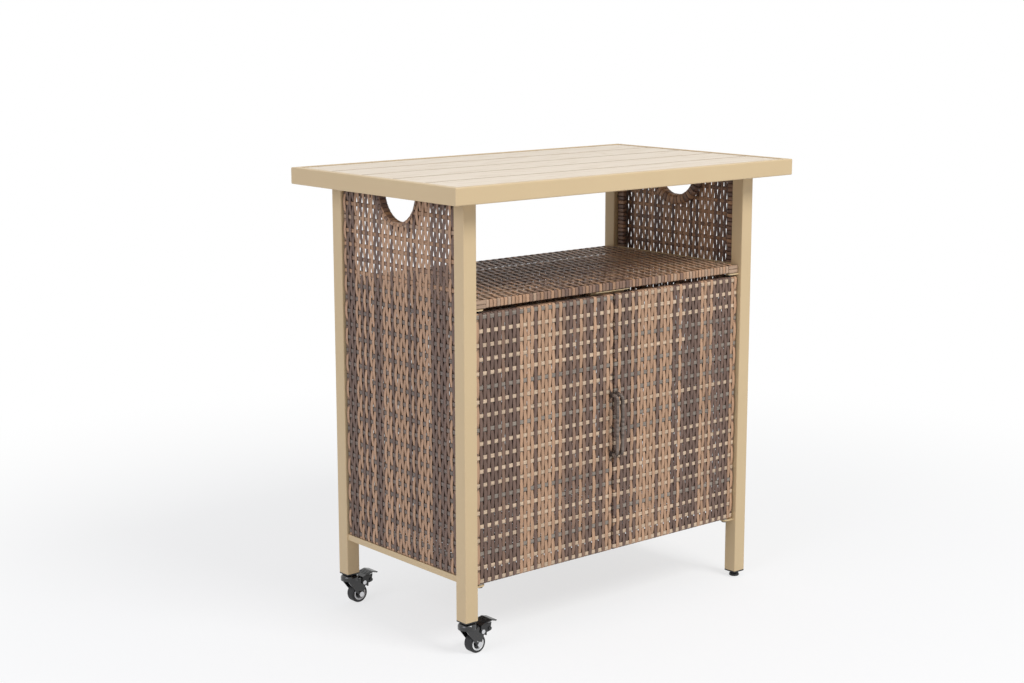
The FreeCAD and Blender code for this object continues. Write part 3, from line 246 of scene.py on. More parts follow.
plank_finish, tree, shader = new_material("plank_finish")
place = add_node(tree, "TexCoord")
parts = add_node(tree, "SeparateXYZ", inputs={"Vector": place.outputs["Object"]})
planks = add_node(tree, "Math", {"operation": "MULTIPLY"},
                  {0: parts.outputs["Y"], 1: 1.0 / PLANK_PITCH})
row = add_node(tree, "Math", {"operation": "ROUND"}, {0: planks.outputs[0]})
slide = add_node(tree, "Math", {"operation": "MULTIPLY_ADD"},
                 {0: row.outputs[0], 1: GRAIN_SLIDE, 2: parts.outputs["X"]})
rise = add_node(tree, "Math", {"operation": "MULTIPLY"}, {0: row.outputs[0], 1: GRAIN_RISE})
board = add_node(tree, "CombineXYZ", inputs={"X": slide.outputs[0], "Y": parts.outputs["Y"],
                                             "Z": rise.outputs[0]})
stretch = add_node(tree, "Mapping", inputs={"Vector": board.outputs[0],
                                            "Scale": (1.6, 15.0, 1.0)})
bend = add_node(tree, "TexNoise", inputs={"Vector": stretch.outputs[0], "Scale": 1.3,
                                          "Detail": 2.0, "Distortion": 0.4})
rings = add_node(tree, "Math", {"operation": "MULTIPLY"}, {0: bend.outputs["Fac"], 1: GRAIN_RINGS})
rings = add_node(tree, "Math", {"operation": "SINE"}, {0: rings.outputs[0]})
rings = add_node(tree, "MapRange", inputs={"Value": rings.outputs[0], "From Min": 0.1,
                                           "From Max": 1.0})
pores = add_node(tree, "Mapping", inputs={"Vector": board.outputs[0],
                                          "Scale": (28.0, 900.0, 1.0)})
pores = add_node(tree, "TexNoise", inputs={"Vector": pores.outputs[0], "Scale": 1.0,
                                           "Detail": 3.0})
pore_depth = add_node(tree, "MapRange", inputs={"Value": pores.outputs["Fac"], "From Min": 0.45,
                                                "From Max": 0.75})
line = add_node(tree, "Math", {"operation": "MULTIPLY_ADD"},
                {0: rings.outputs[0], 1: PORES_IN_RING, 2: PORES_BETWEEN})
ink = add_node(tree, "Math", {"operation": "MULTIPLY", "use_clamp": True},
               {0: pore_depth.outputs[0], 1: line.outputs[0]})
ink = add_node(tree, "Math", {"operation": "MULTIPLY_ADD", "use_clamp": True},
               {0: rings.outputs[0], 1: RING_INK, 2: ink.outputs[0]})
wood = add_node(tree, "MixRGB", inputs={"Fac": ink.outputs[0], "Color1": PLANK_PALE,
                                        "Color2": PLANK_GRAIN})
# Painted shade: a brown line at each plank's long edges, for the shadow in the groove.
across = add_node(tree, "Math", {"operation": "SUBTRACT"},
                  {0: planks.outputs[0], 1: row.outputs[0]})
across = add_node(tree, "Math", {"operation": "ABSOLUTE"}, {0: across.outputs[0]})
groove_shade = add_node(tree, "MapRange", inputs={"Value": across.outputs[0], "From Min": GROOVE_SHADE_START,
                                          "From Max": GROOVE_SHADE_FULL})
wood = add_node(tree, "MixRGB", inputs={"Fac": groove_shade.outputs[0], "Color1": wood.outputs[0],
                                        "Color2": PLANK_GROOVE_SHADE})
tree.links.new(wood.outputs[0], shader.inputs["Base Color"])
relief = add_node(tree, "Bump", {"invert": True},
                  {"Height": ink.outputs[0], "Strength": 0.25, "Distance": 0.0004})
tree.links.new(relief.outputs[0], shader.inputs["Normal"])
shader.inputs["Roughness"].default_value = 0.52
shader.inputs["Specular IOR Level"].default_value = 0.35
for node in PLANK_NODES:
    finish_node(node, plank_finish)

# Inner tubes of the woven pieces
# Thin welded tube frames in dark brown paint, which the strands are wound and woven on. They show
# only in the hollow backs of the panels.
TUBE_COLOUR = linear(96, 80, 68)
TUBE_SHADE = linear(112, 95, 82)
TUBE_NODES = ["side_left_frame", "side_right_frame", "back_frame", "shelf_frame", "floor_frame",
              "door_left_frame", "door_right_frame"]
inner_tube, tree, shader = new_material("inner_tube")
place = add_node(tree, "TexCoord")
mottle = add_node(tree, "TexNoise", inputs={"Vector": place.outputs["Object"], "Scale": 90.0,
                                            "Detail": 3.0})
paint = add_node(tree, "MixRGB", inputs={"Fac": mottle.outputs["Fac"], "Color1": TUBE_COLOUR,
                                         "Color2": TUBE_SHADE})
tree.links.new(paint.outputs[0], shader.inputs["Base Color"])
shader.inputs["Roughness"].default_value = 0.5
for node in TUBE_NODES:
    finish_node(node, inner_tube)

# Weaving: end walls
# Each end wall is a tube frame sleeved in flat plastic strands. Upright strands wrap the top and
# bottom tubes. Level rows every 27 mm, with two wound strips between them, wrap the side tubes. A
# half-round arch is cut into the top edge, and its rim is bound with short strips.
ROW_PITCH = 0.0268
FIRST_ROW, LAST_ROW = 0.0072, 0.006
ROW_SWAY = 0.0005
FAR_PART = 0.55
STRAND_HALF, STRAND_THICK = 0.0043, 0.0004
STRAND_SWAY, STRAND_WANDER = 0.0012, 0.00018
STEPS_PER_ROW, STEPS_PER_STRAND = 6, 4
# The pinch of a strand where it dives under a row, and its swell where it crosses over one.
SLIM, SLIM_REACH, SLIM_CORE = 0.13, 0.0125, 0.0042
SWELL, SWELL_REACH = 0.06, 0.0110
# The way round a tube. The weave lies flat near an edge, so its sway fades out there.
INSET, EDGE_INSET, CORNER = 0.0017, 0.0006, 0.0020
TUBE_WRAP, TUCK, EDGE_FADE = 0.020, 0.002, 0.004
WRAPS_PER_ROW, WRAP_FIT = 3, 0.98
# The arch: what is left clear of it, how the strands end under it, and the strips on its rim.
ARCH_CLEAR, ROW_CLEAR = 0.004, 0.002
CUT_GAP, CUT_RUN, CUT_FADE, CUT_STEPS = 0.0012, 0.004, 0.010, 12
RIM_CORNER, RIM_PROUD, RIM_BACK, RIM_LIP, RIM_FIT = 0.0058, 0.0002, 0.0010, 0.0015, 0.99
# The rim strips' colours round the arch. The last four, D and d, are painted shade at that end.
RIM_TONES_AND_SHADE = "tMtDMtTMtTtTtMtMDDdd"
# The strands' colours: tans T and t, browns M, D and d, almost black k, pale B and b, grey G and g.
STRAND_TONES = {
    "T": linear(195, 156, 125),
    "t": linear(179, 141, 111),
    "M": linear(146, 116, 97),
    "D": linear(119, 95, 83),
    "d": linear(104, 83, 73),
    "k": linear(58, 46, 40),
    "B": linear(215, 189, 161),
    "b": linear(185, 156, 131),
    "G": linear(148, 137, 125),
    "g": linear(123, 110, 101),
}
TONE_SPREAD = 0.10
SECTION = np.array([(-1.0, 0.0), (-0.6, -1.0), (0.6, -1.0), (1.0, 0.0), (0.6, 1.0), (-0.6, 1.0)])
dice = np.random.default_rng(20)


def unit(vectors):
    """Vectors of any array shape, scaled to length one."""
    return vectors / np.linalg.norm(vectors, axis=-1, keepdims=True)


def ribbon(centre, out, tones, half_width=STRAND_HALF, half_thick=STRAND_THICK):
    """Flat strands, each carried along its own path. centre and out are (strands, steps, 3).
    A point of the surface is centre + a * half_width * across + b * half_thick * out, where (a, b)
    runs round a six-sided section and across = out x along the path."""
    along = unit(np.gradient(centre, axis=1))
    across = unit(np.cross(out, along))
    out = np.cross(along, across)
    half_width, half_thick = (np.broadcast_to(half, centre.shape[:2])
                              for half in (half_width, half_thick))
    wide = (half_width[..., None] * SECTION[:, 0])[..., None] * across[:, :, None]
    thick = (half_thick[..., None] * SECTION[:, 1])[..., None] * out[:, :, None]
    points = centre[:, :, None] + wide + thick
    strands, steps, corners = points.shape[:3]
    index = np.arange(strands * steps * corners).reshape(strands, steps, corners)
    turned = np.roll(index, -1, axis=2)
    quads = np.stack([index[:, :-1], turned[:, :-1], turned[:, 1:], index[:, 1:]], axis=-1)
    ends = np.concatenate([index[:, 0, ::-1], index[:, -1]])
    step = np.linalg.norm(np.diff(centre, axis=1), axis=-1)
    length = np.concatenate([np.zeros((strands, 1)), np.cumsum(step, axis=1)], axis=1)
    number = dice.uniform(0.0, 40.0, strands)
    lay = np.stack(np.broadcast_arrays(half_width[..., None] * SECTION[:, 0],
                                       length[..., None], number[:, None, None]), axis=-1)
    tones = tones[:, None, None, :] if tones.ndim == 2 else tones[:, :, None, :]
    tone = np.broadcast_to(tones, points.shape[:3] + (4,))
    return {"points": points.reshape(-1, 3), "quads": quads.reshape(-1, 4), "ends": ends,
            "lay": lay.reshape(-1, 3), "tone": tone.reshape(-1, 4)}


def woven_piece(name, ribbons, material, body, replaced):
    """One object from many ribbons. Each point keeps the strand's colour in "tone" and its place
    across and along the strand, with the strand's number, in "lay"."""
    shifts = np.cumsum([0] + [len(part["points"]) for part in ribbons[:-1]])
    points = np.concatenate([part["points"] for part in ribbons])
    quads = np.concatenate([part["quads"] + shift for part, shift in zip(ribbons, shifts)])
    ends = np.concatenate([part["ends"] + shift for part, shift in zip(ribbons, shifts)])
    corners = np.concatenate([quads.ravel(), ends.ravel()])
    starts = np.concatenate([np.arange(len(quads)) * 4,
                             quads.size + np.arange(len(ends)) * ends.shape[1]])
    mesh = bpy.data.meshes.new(name)
    mesh.vertices.add(len(points))
    mesh.vertices.foreach_set("co", points.ravel())
    mesh.loops.add(len(corners))
    mesh.loops.foreach_set("vertex_index", corners)
    mesh.polygons.add(len(starts))
    mesh.polygons.foreach_set("loop_start", starts)
    mesh.update(calc_edges=True)
    mesh.polygons.foreach_set("use_smooth", np.ones(len(starts), bool))
    tone = mesh.attributes.new("tone", "FLOAT_COLOR", "POINT")
    tone.data.foreach_set("color", np.concatenate([part["tone"] for part in ribbons]).ravel())
    lay = mesh.attributes.new("lay", "FLOAT_VECTOR", "POINT")
    lay.data.foreach_set("vector", np.concatenate([part["lay"] for part in ribbons]).ravel())
    mesh.materials.append(material)
    piece = bpy.data.objects.new(name, mesh)
    bpy.context.scene.collection.objects.link(piece)
    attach(piece, body)
    if replaced:
        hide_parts(replaced)


def mixed_tones(letters):
    """The colour of each strand from its letter, lighter or darker by up to TONE_SPREAD of it."""
    colours = np.array([STRAND_TONES[letter] for letter in letters])
    colours[:, :3] *= dice.uniform(1.0 - TONE_SPREAD, 1.0 + TONE_SPREAD, (len(letters), 1))
    return colours


def quarter(centre_a, centre_n, start, corner):
    """A quarter turn of radius corner from the angle start, as (a, n, out_a, out_n) rows, where
    out = (sin, cos) of the angle and the place is centre + corner * out."""
    angle = start + np.linspace(0.0, math.pi / 2, 5)
    out_a, out_n = np.sin(angle), np.cos(angle)
    return np.stack([centre_a + corner * out_a, centre_n + corner * out_n, out_a, out_n], axis=1)


def straight(start, end, out, count):
    """Evenly spaced places between two, without the ends, all with one outward direction."""
    share = np.linspace(0.0, 1.0, count + 2)[1:-1, None]
    places = np.array(start) * (1 - share) + np.array(end) * share
    return np.concatenate([places, np.tile(out, (count, 1))], axis=1)


def sleeve(length, depth, face, corner=CORNER, inset=INSET, edge=EDGE_INSET):
    """The line of a strand that goes round a panel's edges: up the inner side of one tube, over
    its back and outer side, along the face at the places given, and round the other tube.
    Rows are (a, n, out_a, out_n): a along the face, n out of it and 0 at the face."""
    low, high = edge + corner, length - edge - corner
    near, far = -inset - corner, -depth + inset + corner
    inner = TUBE_WRAP - edge - corner
    tuck = near - TUCK
    flat = np.stack([face, np.full(len(face), -inset), np.zeros(len(face)),
                     np.ones(len(face))], axis=1)
    half_turn = math.pi / 2
    return np.concatenate([
        straight((inner + corner, tuck), (inner + corner, far), (1, 0), 2),
        quarter(inner, far, half_turn, corner),
        straight((inner, far - corner), (low, far - corner), (0, -1), 5),
        quarter(low, far, 2 * half_turn, corner),
        straight((low - corner, far), (low - corner, near), (-1, 0), 5),
        quarter(low, near, 3 * half_turn, corner)[:-1],
        flat,
        quarter(high, near, 0.0, corner)[1:],
        straight((high + corner, near), (high + corner, far), (1, 0), 5),
        quarter(high, far, half_turn, corner),
        straight((high, far - corner), (length - inner, far - corner), (0, -1), 5),
        quarter(length - inner, far, 2 * half_turn, corner),
        straight((length - inner - corner, far), (length - inner - corner, tuck), (-1, 0), 2),
    ])


def row_count(height, row, strand):
    """How many rows below the first a height is, plus the strand's number: even where the strand
    passes under a row, odd where it passes over."""
    return (row - height) / ROW_PITCH + strand


def strand_width(phase, slim):
    """Half the width of a strand. It is pinched near the rows that it passes under, which leaves
    slits beside each crossing, and lies flat and a little wider over the rows that it crosses."""
    turn = np.mod(phase, 2.0)
    gap = np.minimum(turn, 2.0 - turn) * ROW_PITCH
    pinch = np.clip((SLIM_REACH - gap) / (SLIM_REACH - SLIM_CORE), 0.0, 1.0)
    swell = np.clip((gap - ROW_PITCH + SWELL_REACH) / SWELL_REACH, 0.0, 1.0)
    return STRAND_HALF * (1.0 + SWELL * swell - slim * pinch)


FACING = 0.99


def on_flat(line):
    """Which places of a sleeve's line lie on the face itself, with no bend."""
    return (line[:, 3] > FACING) & (line[:, 1] > -INSET - 1e-6)


def woven_panel(node, axis_a, axis_b, strand_letters, row_letters, wrap_letters, lead=0,
                arch=0.0, slim=SLIM, sway_size=STRAND_SWAY):
    """The ribbons of one plain-woven panel and its wound edges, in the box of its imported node.
    The strands stand along axis_b, side by side along axis_a, and the face looks along their
    cross product. Strand k sways out of the face by -sway_size * cos(pi * (rows + k + lead)),
    and row r by ROW_SWAY * cos(pi * (strands + r + lead)), where rows and strands count what each
    has passed, so a strand is over one row and under the next. lead is 1 where the first strand
    starts over the first row. arch is the radius of the cut in the top edge. A row's second
    letter colours what lies past FAR_PART of the width."""
    low_corner, high_corner = (np.array(corner, float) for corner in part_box(node))
    axis_a, axis_b = np.array(axis_a, float), np.array(axis_b, float)
    axis_n = np.cross(axis_a, axis_b)
    width, height, depth = (abs(float(axis @ (high_corner - low_corner)))
                            for axis in (axis_a, axis_b, axis_n))
    origin = (low_corner + high_corner - width * axis_a - height * axis_b + depth * axis_n) / 2
    strands = len(strand_letters)
    pitch = width / strands
    first = height - FIRST_ROW
    ribbons = []

    def direct(across, along, out):
        return sum(np.asarray(part)[..., None] * axis
                   for part, axis in ((across, axis_a), (along, axis_b), (out, axis_n)))

    # Upright strands on the face, round the top and bottom tubes.
    step = ROW_PITCH / STEPS_PER_ROW
    low, high = EDGE_INSET + CORNER, height - EDGE_INSET - CORNER
    face = np.arange(first - math.floor((first - low) / step) * step, high, step)
    face = np.concatenate([[low], face[(face > low + step / 3) & (face < high - step / 3)],
                           [high]])
    line = sleeve(height, depth, face)
    middle = (np.arange(strands) + 0.5) * pitch
    kept = np.ones(strands, bool)
    if arch:
        kept = np.abs(middle - width / 2) > arch + ARCH_CLEAR
    number = np.arange(strands)[kept]
    phase = row_count(line[:, 0], first, number[:, None] + lead)
    on_face = (line[:, 3] > FACING) & (line[:, 0] >= low) & (line[:, 0] <= high)
    from_edge = np.minimum(line[:, 0] - low, high - line[:, 0])
    fade = np.where(on_face, np.clip(from_edge / EDGE_FADE, 0.0, 1.0), 0.0)
    sway = -sway_size * np.cos(math.pi * phase) * fade
    wander = dice.normal(0.0, STRAND_WANDER, (len(number), 1))
    centre = origin + direct(middle[kept][:, None] + wander + 0 * phase,
                             line[:, 0] + sway * line[:, 2], line[:, 1] + sway * line[:, 3])
    out = direct(0 * phase, line[:, 2] + 0 * phase, line[:, 3] + 0 * phase)
    half = np.where(on_face, strand_width(phase, slim), STRAND_HALF)
    tones = mixed_tones([strand_letters[index] for index in number])
    ribbons.append(ribbon(centre, out, tones, half))

    # Level rows, round the side tubes.
    rows = [first - index * ROW_PITCH for index in range(int((first - LAST_ROW) / ROW_PITCH) + 1)]
    fine = np.arange(0.5, strands - 0.49, 1.0 / STEPS_PER_STRAND) * pitch
    fine = fine[(fine > low) & (fine < width - low)]
    line = sleeve(width, depth, fine)
    on_face = np.isin(line[:, 0], fine) & (line[:, 3] > FACING)
    count = line[:, 0] / pitch - 0.5
    near_tones = mixed_tones([letters[0] for letters in row_letters])
    far_tones = mixed_tones([letters[-1] for letters in row_letters])
    for index, row in enumerate(rows):
        spans = [np.ones(len(line), bool)]
        drop = height - row
        if arch and drop < arch:
            reach = math.sqrt(arch ** 2 - drop ** 2) + ROW_CLEAR
            inside = np.flatnonzero(on_flat(line) & (np.abs(line[:, 0] - width / 2) < reach))
            spans = [np.arange(len(line)) < inside[0], np.arange(len(line)) > inside[-1]]
        letter = index % len(row_letters)
        near_tone = near_tones[letter]
        far_tone = far_tones[letter] if len(row_letters[letter]) > 1 else near_tone
        for span in spans:
            part = line[span]
            sway = ROW_SWAY * np.cos(math.pi * (count[span] + index + lead)) * on_face[span]
            level = np.full(len(part), row)
            centre = (origin + direct(part[:, 0] + sway * part[:, 2], level,
                                      part[:, 1] + sway * part[:, 3]))[None]
            out = direct(part[:, 2], 0 * level, part[:, 3])[None]
            far = count[span][:, None] > strands * FAR_PART
            ribbons.append(ribbon(centre, out, np.where(far, far_tone, near_tone)[None]))

    # Strips wound round the side tubes between the rows, with their ends under the strands.
    first_on, last_on = np.flatnonzero(on_face)[[0, -1]]
    wraps = [row - part * ROW_PITCH / WRAPS_PER_ROW for row in rows
             for part in range(1, WRAPS_PER_ROW)]
    level = np.array([value for value in wraps if value > STRAND_HALF])[:, None]
    for turn in (line[:first_on + 2], line[last_on - 1:]):
        dive = np.where(on_flat(turn), ROW_SWAY, 0.0)
        centre = origin + direct(turn[:, 0] + 0 * level, level + 0 * turn[:, 0],
                                 turn[:, 1] - dive + 0 * level)
        out = direct(turn[:, 2] + 0 * level, 0 * turn[:, 2] + 0 * level, turn[:, 3] + 0 * level)
        letters = (wrap_letters * len(level))[:len(level)]
        ribbons.append(ribbon(centre, out, mixed_tones(letters), STRAND_HALF * WRAP_FIT))
    if not arch:
        return ribbons

    # Strands under the arch, cut to its curve.
    cut = arch + CUT_GAP
    below = face[face < height - cut - CUT_RUN]
    line = sleeve(height, depth, below)
    line = line[:np.argmax((line[:, 0] == below[-1]) & (line[:, 3] > FACING)) + 1]
    climb = np.linspace(0.0, 1.0, CUT_STEPS + 1)[1:]
    for number in np.arange(strands)[~kept]:
        section = middle[number] - width / 2 - SECTION[:, 0] * STRAND_HALF
        rim = height - np.sqrt(np.clip(cut ** 2 - section ** 2, 0.0, None))
        rise = below[-1] + climb[:, None] * (rim - below[-1])
        ends = rise.mean(axis=1)
        tip = np.stack([ends, 0 * ends - INSET, 0 * ends, 0 * ends + 1.0], axis=1)
        path = np.concatenate([line, tip])
        along = path[:, 0]
        phase = row_count(along, first, number + lead)
        flat = (path[:, 3] > FACING) & (along >= low)
        fade = np.where(flat, np.clip((along - low) / EDGE_FADE, 0.0, 1.0), 0.0)
        fade = fade * np.clip((ends[-1] - along) / CUT_FADE, 0.0, 1.0)
        sway = -sway_size * np.cos(math.pi * phase) * fade
        centre = origin + direct(middle[number] + 0 * along, along + sway * path[:, 2],
                                 path[:, 1] + sway * path[:, 3])
        out = direct(0 * along, path[:, 2], path[:, 3])
        half = np.where(flat, strand_width(phase, slim), STRAND_HALF)
        band = ribbon(centre[None], out[None], mixed_tones([strand_letters[number]]), half)
        shear = np.zeros((len(path), len(SECTION)))
        shear[len(line):] = rise - ends[:, None]
        band["points"] += shear.reshape(-1, 1) * axis_b
        ribbons.append(band)

    # Short strips side by side that bind the arch's rim.
    strips = len(RIM_TONES_AND_SHADE)
    angle = (np.arange(strips) + 0.5) / strips * math.pi
    lip = np.array([0.0, RIM_LIP]) + RIM_CORNER - RIM_PROUD
    bend = sleeve(1.0, depth, lip, corner=RIM_CORNER, inset=-RIM_PROUD, edge=-RIM_PROUD)
    bend = bend[:np.argmax(bend[:, 0] == lip[1]) + 1]
    radial = arch + RIM_BACK + bend[:, 0]
    away, fall = np.cos(angle)[:, None], np.sin(angle)[:, None]
    centre = origin + direct(width / 2 + away * radial, height - fall * radial,
                             bend[:, 1] + 0 * away)
    out = direct(away * bend[:, 2], -fall * bend[:, 2], bend[:, 3] + 0 * away)
    half = math.pi * radial / strips / 2 * RIM_FIT + 0 * away
    # The dark strips at the end of the rim are painted shade; the others are mixed tones.
    ribbons.append(ribbon(centre, out, mixed_tones(RIM_TONES_AND_SHADE), half))
    return ribbons


# The strands' plastic: fine streaks along each strand and slow changes of tone. Painted shade
# darkens each strand's long edges, for the shade where neighbouring strands meet.
EDGE_SHADE_START = 0.0034
wicker, tree, shader = new_material("wicker")
tone = add_node(tree, "Attribute", {"attribute_name": "tone"})
lay = add_node(tree, "Attribute", {"attribute_name": "lay"})
streak_place = add_node(tree, "Mapping", inputs={"Vector": lay.outputs["Vector"],
                                                 "Scale": (1500.0, 22.0, 3.7)})
streaks = add_node(tree, "TexNoise", inputs={"Vector": streak_place.outputs[0], "Scale": 1.0,
                                             "Detail": 3.0, "Roughness": 0.6})
broad_place = add_node(tree, "Mapping", inputs={"Vector": lay.outputs["Vector"],
                                                "Scale": (330.0, 9.0, 2.3)})
broad = add_node(tree, "TexNoise", inputs={"Vector": broad_place.outputs[0], "Scale": 1.0,
                                           "Detail": 1.0})
level = add_node(tree, "MapRange", inputs={"Value": streaks.outputs["Fac"], "From Min": 0.25,
                                           "From Max": 0.75, "To Min": 0.72, "To Max": 1.22})
drift = add_node(tree, "MapRange", inputs={"Value": broad.outputs["Fac"], "From Min": 0.3,
                                           "From Max": 0.7, "To Min": 0.88, "To Max": 1.10})
level = add_node(tree, "Math", {"operation": "MULTIPLY"},
                 {0: level.outputs[0], 1: drift.outputs[0]})
# Painted shade: towards the strand's long edges its colour falls to 0.62 of itself.
across = add_node(tree, "SeparateXYZ", inputs={"Vector": lay.outputs["Vector"]})
across = add_node(tree, "Math", {"operation": "ABSOLUTE"}, {0: across.outputs["X"]})
rim = add_node(tree, "MapRange", inputs={"Value": across.outputs[0], "From Min": EDGE_SHADE_START,
                                         "From Max": STRAND_HALF, "To Min": 1.0, "To Max": 0.62})
level = add_node(tree, "Math", {"operation": "MULTIPLY"}, {0: level.outputs[0], 1: rim.outputs[0]})
dyed_and_edge_shaded = add_node(tree, "MixRGB", {"blend_type": "MULTIPLY"},
                {"Fac": 1.0, "Color1": tone.outputs["Color"], "Color2": level.outputs[0]})
tree.links.new(dyed_and_edge_shaded.outputs[0], shader.inputs["Base Color"])
ridges = add_node(tree, "Bump", inputs={"Height": streaks.outputs["Fac"], "Strength": 0.45,
                                        "Distance": 0.0004})
tree.links.new(ridges.outputs[0], shader.inputs["Normal"])
shader.inputs["Roughness"].default_value = 0.47
shader.inputs["Specular IOR Level"].default_value = 0.4


def panel_pieces(name, ribbons, body, node):
    """The full-length strands of a woven panel as one piece, and its other strips as another."""
    woven_piece(name + "_strands", ribbons[:1], wicker, body, node)
    woven_piece(name + "_rows", ribbons[1:], wicker, body, "")


SIDE_STRANDS = "TDDDTTDTDTTDDMTTTDTTTTTDTDTTTTTDDMDDMTD"
SIDE_ROWS = {"left": "ttbttMt" + 20 * "g", "right": "tMttM"}
SIDE_SLIM = {"left": SLIM, "right": 0.06}
SIDE_SWAY = {"left": STRAND_SWAY, "right": 0.0008}
ARCH_RADIUS = 0.057
for side_name, sign in (("left", -1.0), ("right", 1.0)):
    side_node = "side_" + side_name + "_weave"
    letters = SIDE_STRANDS if sign < 0 else SIDE_STRANDS[::-1]
    side_ribbons = woven_panel(side_node, (0, sign, 0), (0, 0, 1), letters, SIDE_ROWS[side_name],
                               "DMDMMD", arch=ARCH_RADIUS, slim=SIDE_SLIM[side_name],
                               sway_size=SIDE_SWAY[side_name])
    panel_pieces("side_" + side_name, side_ribbons, "root", side_node)

# Weaving: back wall, cupboard floor and shelf
# Woven like the end walls, the back wall and the floor a little closer. The back wall closes the
# cupboard between the back legs and the floor rests on the bottom rails. The shelf rests on its
# ledges, and its strands run from front to back and turn over its front tube.
CLOSE_SLIM, CLOSE_SWAY = -0.04, 0.0008
BACK_STRANDS = "TDDMDTTDTTTDDTDTTMDDTTTDTDDMTTDDTDTMDDTTTDTDDDTTDMTDTTDDTDTTTDMDDTTDTDDTMTTDDT"
BACK_ROWS = "gbgbb"
FLOOR_STRANDS = "DTDDTMDTTDDTDMTDDTTDTDDMTDTDDTTDMDTDTD"
FLOOR_ROWS = "GMbMb"
SHELF_STRANDS = "bbTbTTbTTbTtTtTMbMtMMtMtMDMtMDMtMMDtMMDtMMMDMtMtMMMtMbMtMtbtMtTbTtTTbTbTTbTbbTb"
SHELF_ROWS = "DGDMbtbGDMDbtbt"
SHELF_SLIM = -0.02

back_ribbons = woven_panel("back_weave", (-1, 0, 0), (0, 0, 1), BACK_STRANDS, BACK_ROWS, "MDMtD",
                           slim=CLOSE_SLIM, sway_size=CLOSE_SWAY)
panel_pieces("back", back_ribbons, "root", "back_weave")

floor_ribbons = woven_panel("floor_weave", (0, -1, 0), (1, 0, 0), FLOOR_STRANDS, FLOOR_ROWS,
                            "DDMD", slim=CLOSE_SLIM, sway_size=CLOSE_SWAY)
panel_pieces("floor", floor_ribbons, "root", "floor_weave")

shelf_ribbons = woven_panel("shelf_weave", (1, 0, 0), (0, 1, 0), SHELF_STRANDS, SHELF_ROWS, "DMDD",
                            slim=SHELF_SLIM)

# Two level strips cross the last 27 mm of the shelf's front tube at each end.
BIND_END, BIND_STEPS = 0.027, 8
BIND_HALF = 0.0040
BIND_DROPS = (0.0050, 0.0132)
BIND_INSET = 0.0001
shelf_low, shelf_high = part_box("shelf_weave")
shelf_length, shelf_width = shelf_high[0] - shelf_low[0], shelf_high[1] - shelf_low[1]
for end in (-1.0, 1.0):
    run = np.linspace(0.0, BIND_END, BIND_STEPS)
    for drop in BIND_DROPS:
        centre = np.stack(np.broadcast_arrays(end * (shelf_length / 2 - run),
                                              -shelf_width / 2 + BIND_INSET,
                                              shelf_high[2] - drop), axis=-1)[None]
        out = np.broadcast_to(np.array([0.0, -1.0, 0.0]), centre.shape)
        shelf_ribbons.append(ribbon(centre, out, mixed_tones("b"), BIND_HALF))
panel_pieces("shelf", shelf_ribbons, "root", "shelf_weave")

# Weaving: doors
# Two woven doors on hidden tube frames, hung on pins at their outer corners. Most rows are a pale
# strand that shows as small squares, with a grey row here and there.
DOOR_SLIM, DOOR_SWAY = 0.12, 0.0009
DOORS = {
    "left": {
        "lead": 0, "wraps": "MDMtD",
        "strands": "TDDDDDDMDDDDTTTTDTTTTTDTMDDMDTMDDTDDMTT",
        "rows": "G B B B B G B B G B B B B G BG B B G B B".split(),
    },
    "right": {
        "lead": 1, "wraps": "DMDMt",
        "strands": "DTDDDTDTTTTTTDTTTTDDTDDDDDDTTMTDDDDDDTT",
        "rows": "B B B G BG G G G B G G B B B B B G B B B".split(),
    },
}
for door_name, door in DOORS.items():
    door_node = "door_" + door_name + "_weave"
    door_ribbons = woven_panel(door_node, (1, 0, 0), (0, 0, 1), door["strands"], door["rows"],
                               door["wraps"], lead=door["lead"], slim=DOOR_SLIM,
                               sway_size=DOOR_SWAY)
    panel_pieces("door_" + door_name, door_ribbons, "door_" + door_name, door_node)

# Handles
# A bent rod on each door beside the split, wound closely with dark strand. Each foot is lashed to
# the door with a few turns more.
DOOR_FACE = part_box("door_left_weave")[0][1]
HANDLE_X, HANDLE_LOW, HANDLE_HIGH, HANDLE_OUT = 0.007, 0.334, 0.454, 0.0185
HANDLE_BEND, BEND_STEPS = 0.009, 14
WIND_RADIUS, WIND_RISE, WIND_PITCH = 0.0031, 0.0005, 0.0046
WIND_AROUND, WIND_STEP = 20, 0.0009
WIND_DARK, WIND_PALE = linear(36, 29, 25), linear(150, 134, 122)
TURN_CONTRAST = 0.45


def bent_rod(x):
    """The rod's middle line, as the distance along it and the places: out of the door, up and back
    into it, with a quarter turn of radius HANDLE_BEND at each corner."""
    turn = np.linspace(0.0, math.pi / 2, BEND_STEPS)
    lower = HANDLE_LOW + HANDLE_BEND
    upper = HANDLE_HIGH - HANDLE_BEND
    inner = HANDLE_OUT - HANDLE_BEND
    out = np.concatenate([[0.0], inner + HANDLE_BEND * np.sin(turn),
                          inner + HANDLE_BEND * np.cos(turn), [0.0]])
    rise = np.concatenate([[HANDLE_LOW], lower - HANDLE_BEND * np.cos(turn),
                           upper + HANDLE_BEND * np.sin(turn), [HANDLE_HIGH]])
    knots = np.stack([np.full_like(out, x), DOOR_FACE - out, rise], axis=1)
    travel = np.concatenate([[0], np.cumsum(np.linalg.norm(np.diff(knots, axis=0), axis=1))])
    steps = np.linspace(0.0, travel[-1], int(travel[-1] / WIND_STEP))
    places = np.stack([np.interp(steps, travel, knots[:, axis]) for axis in range(3)], axis=1)
    return steps, places


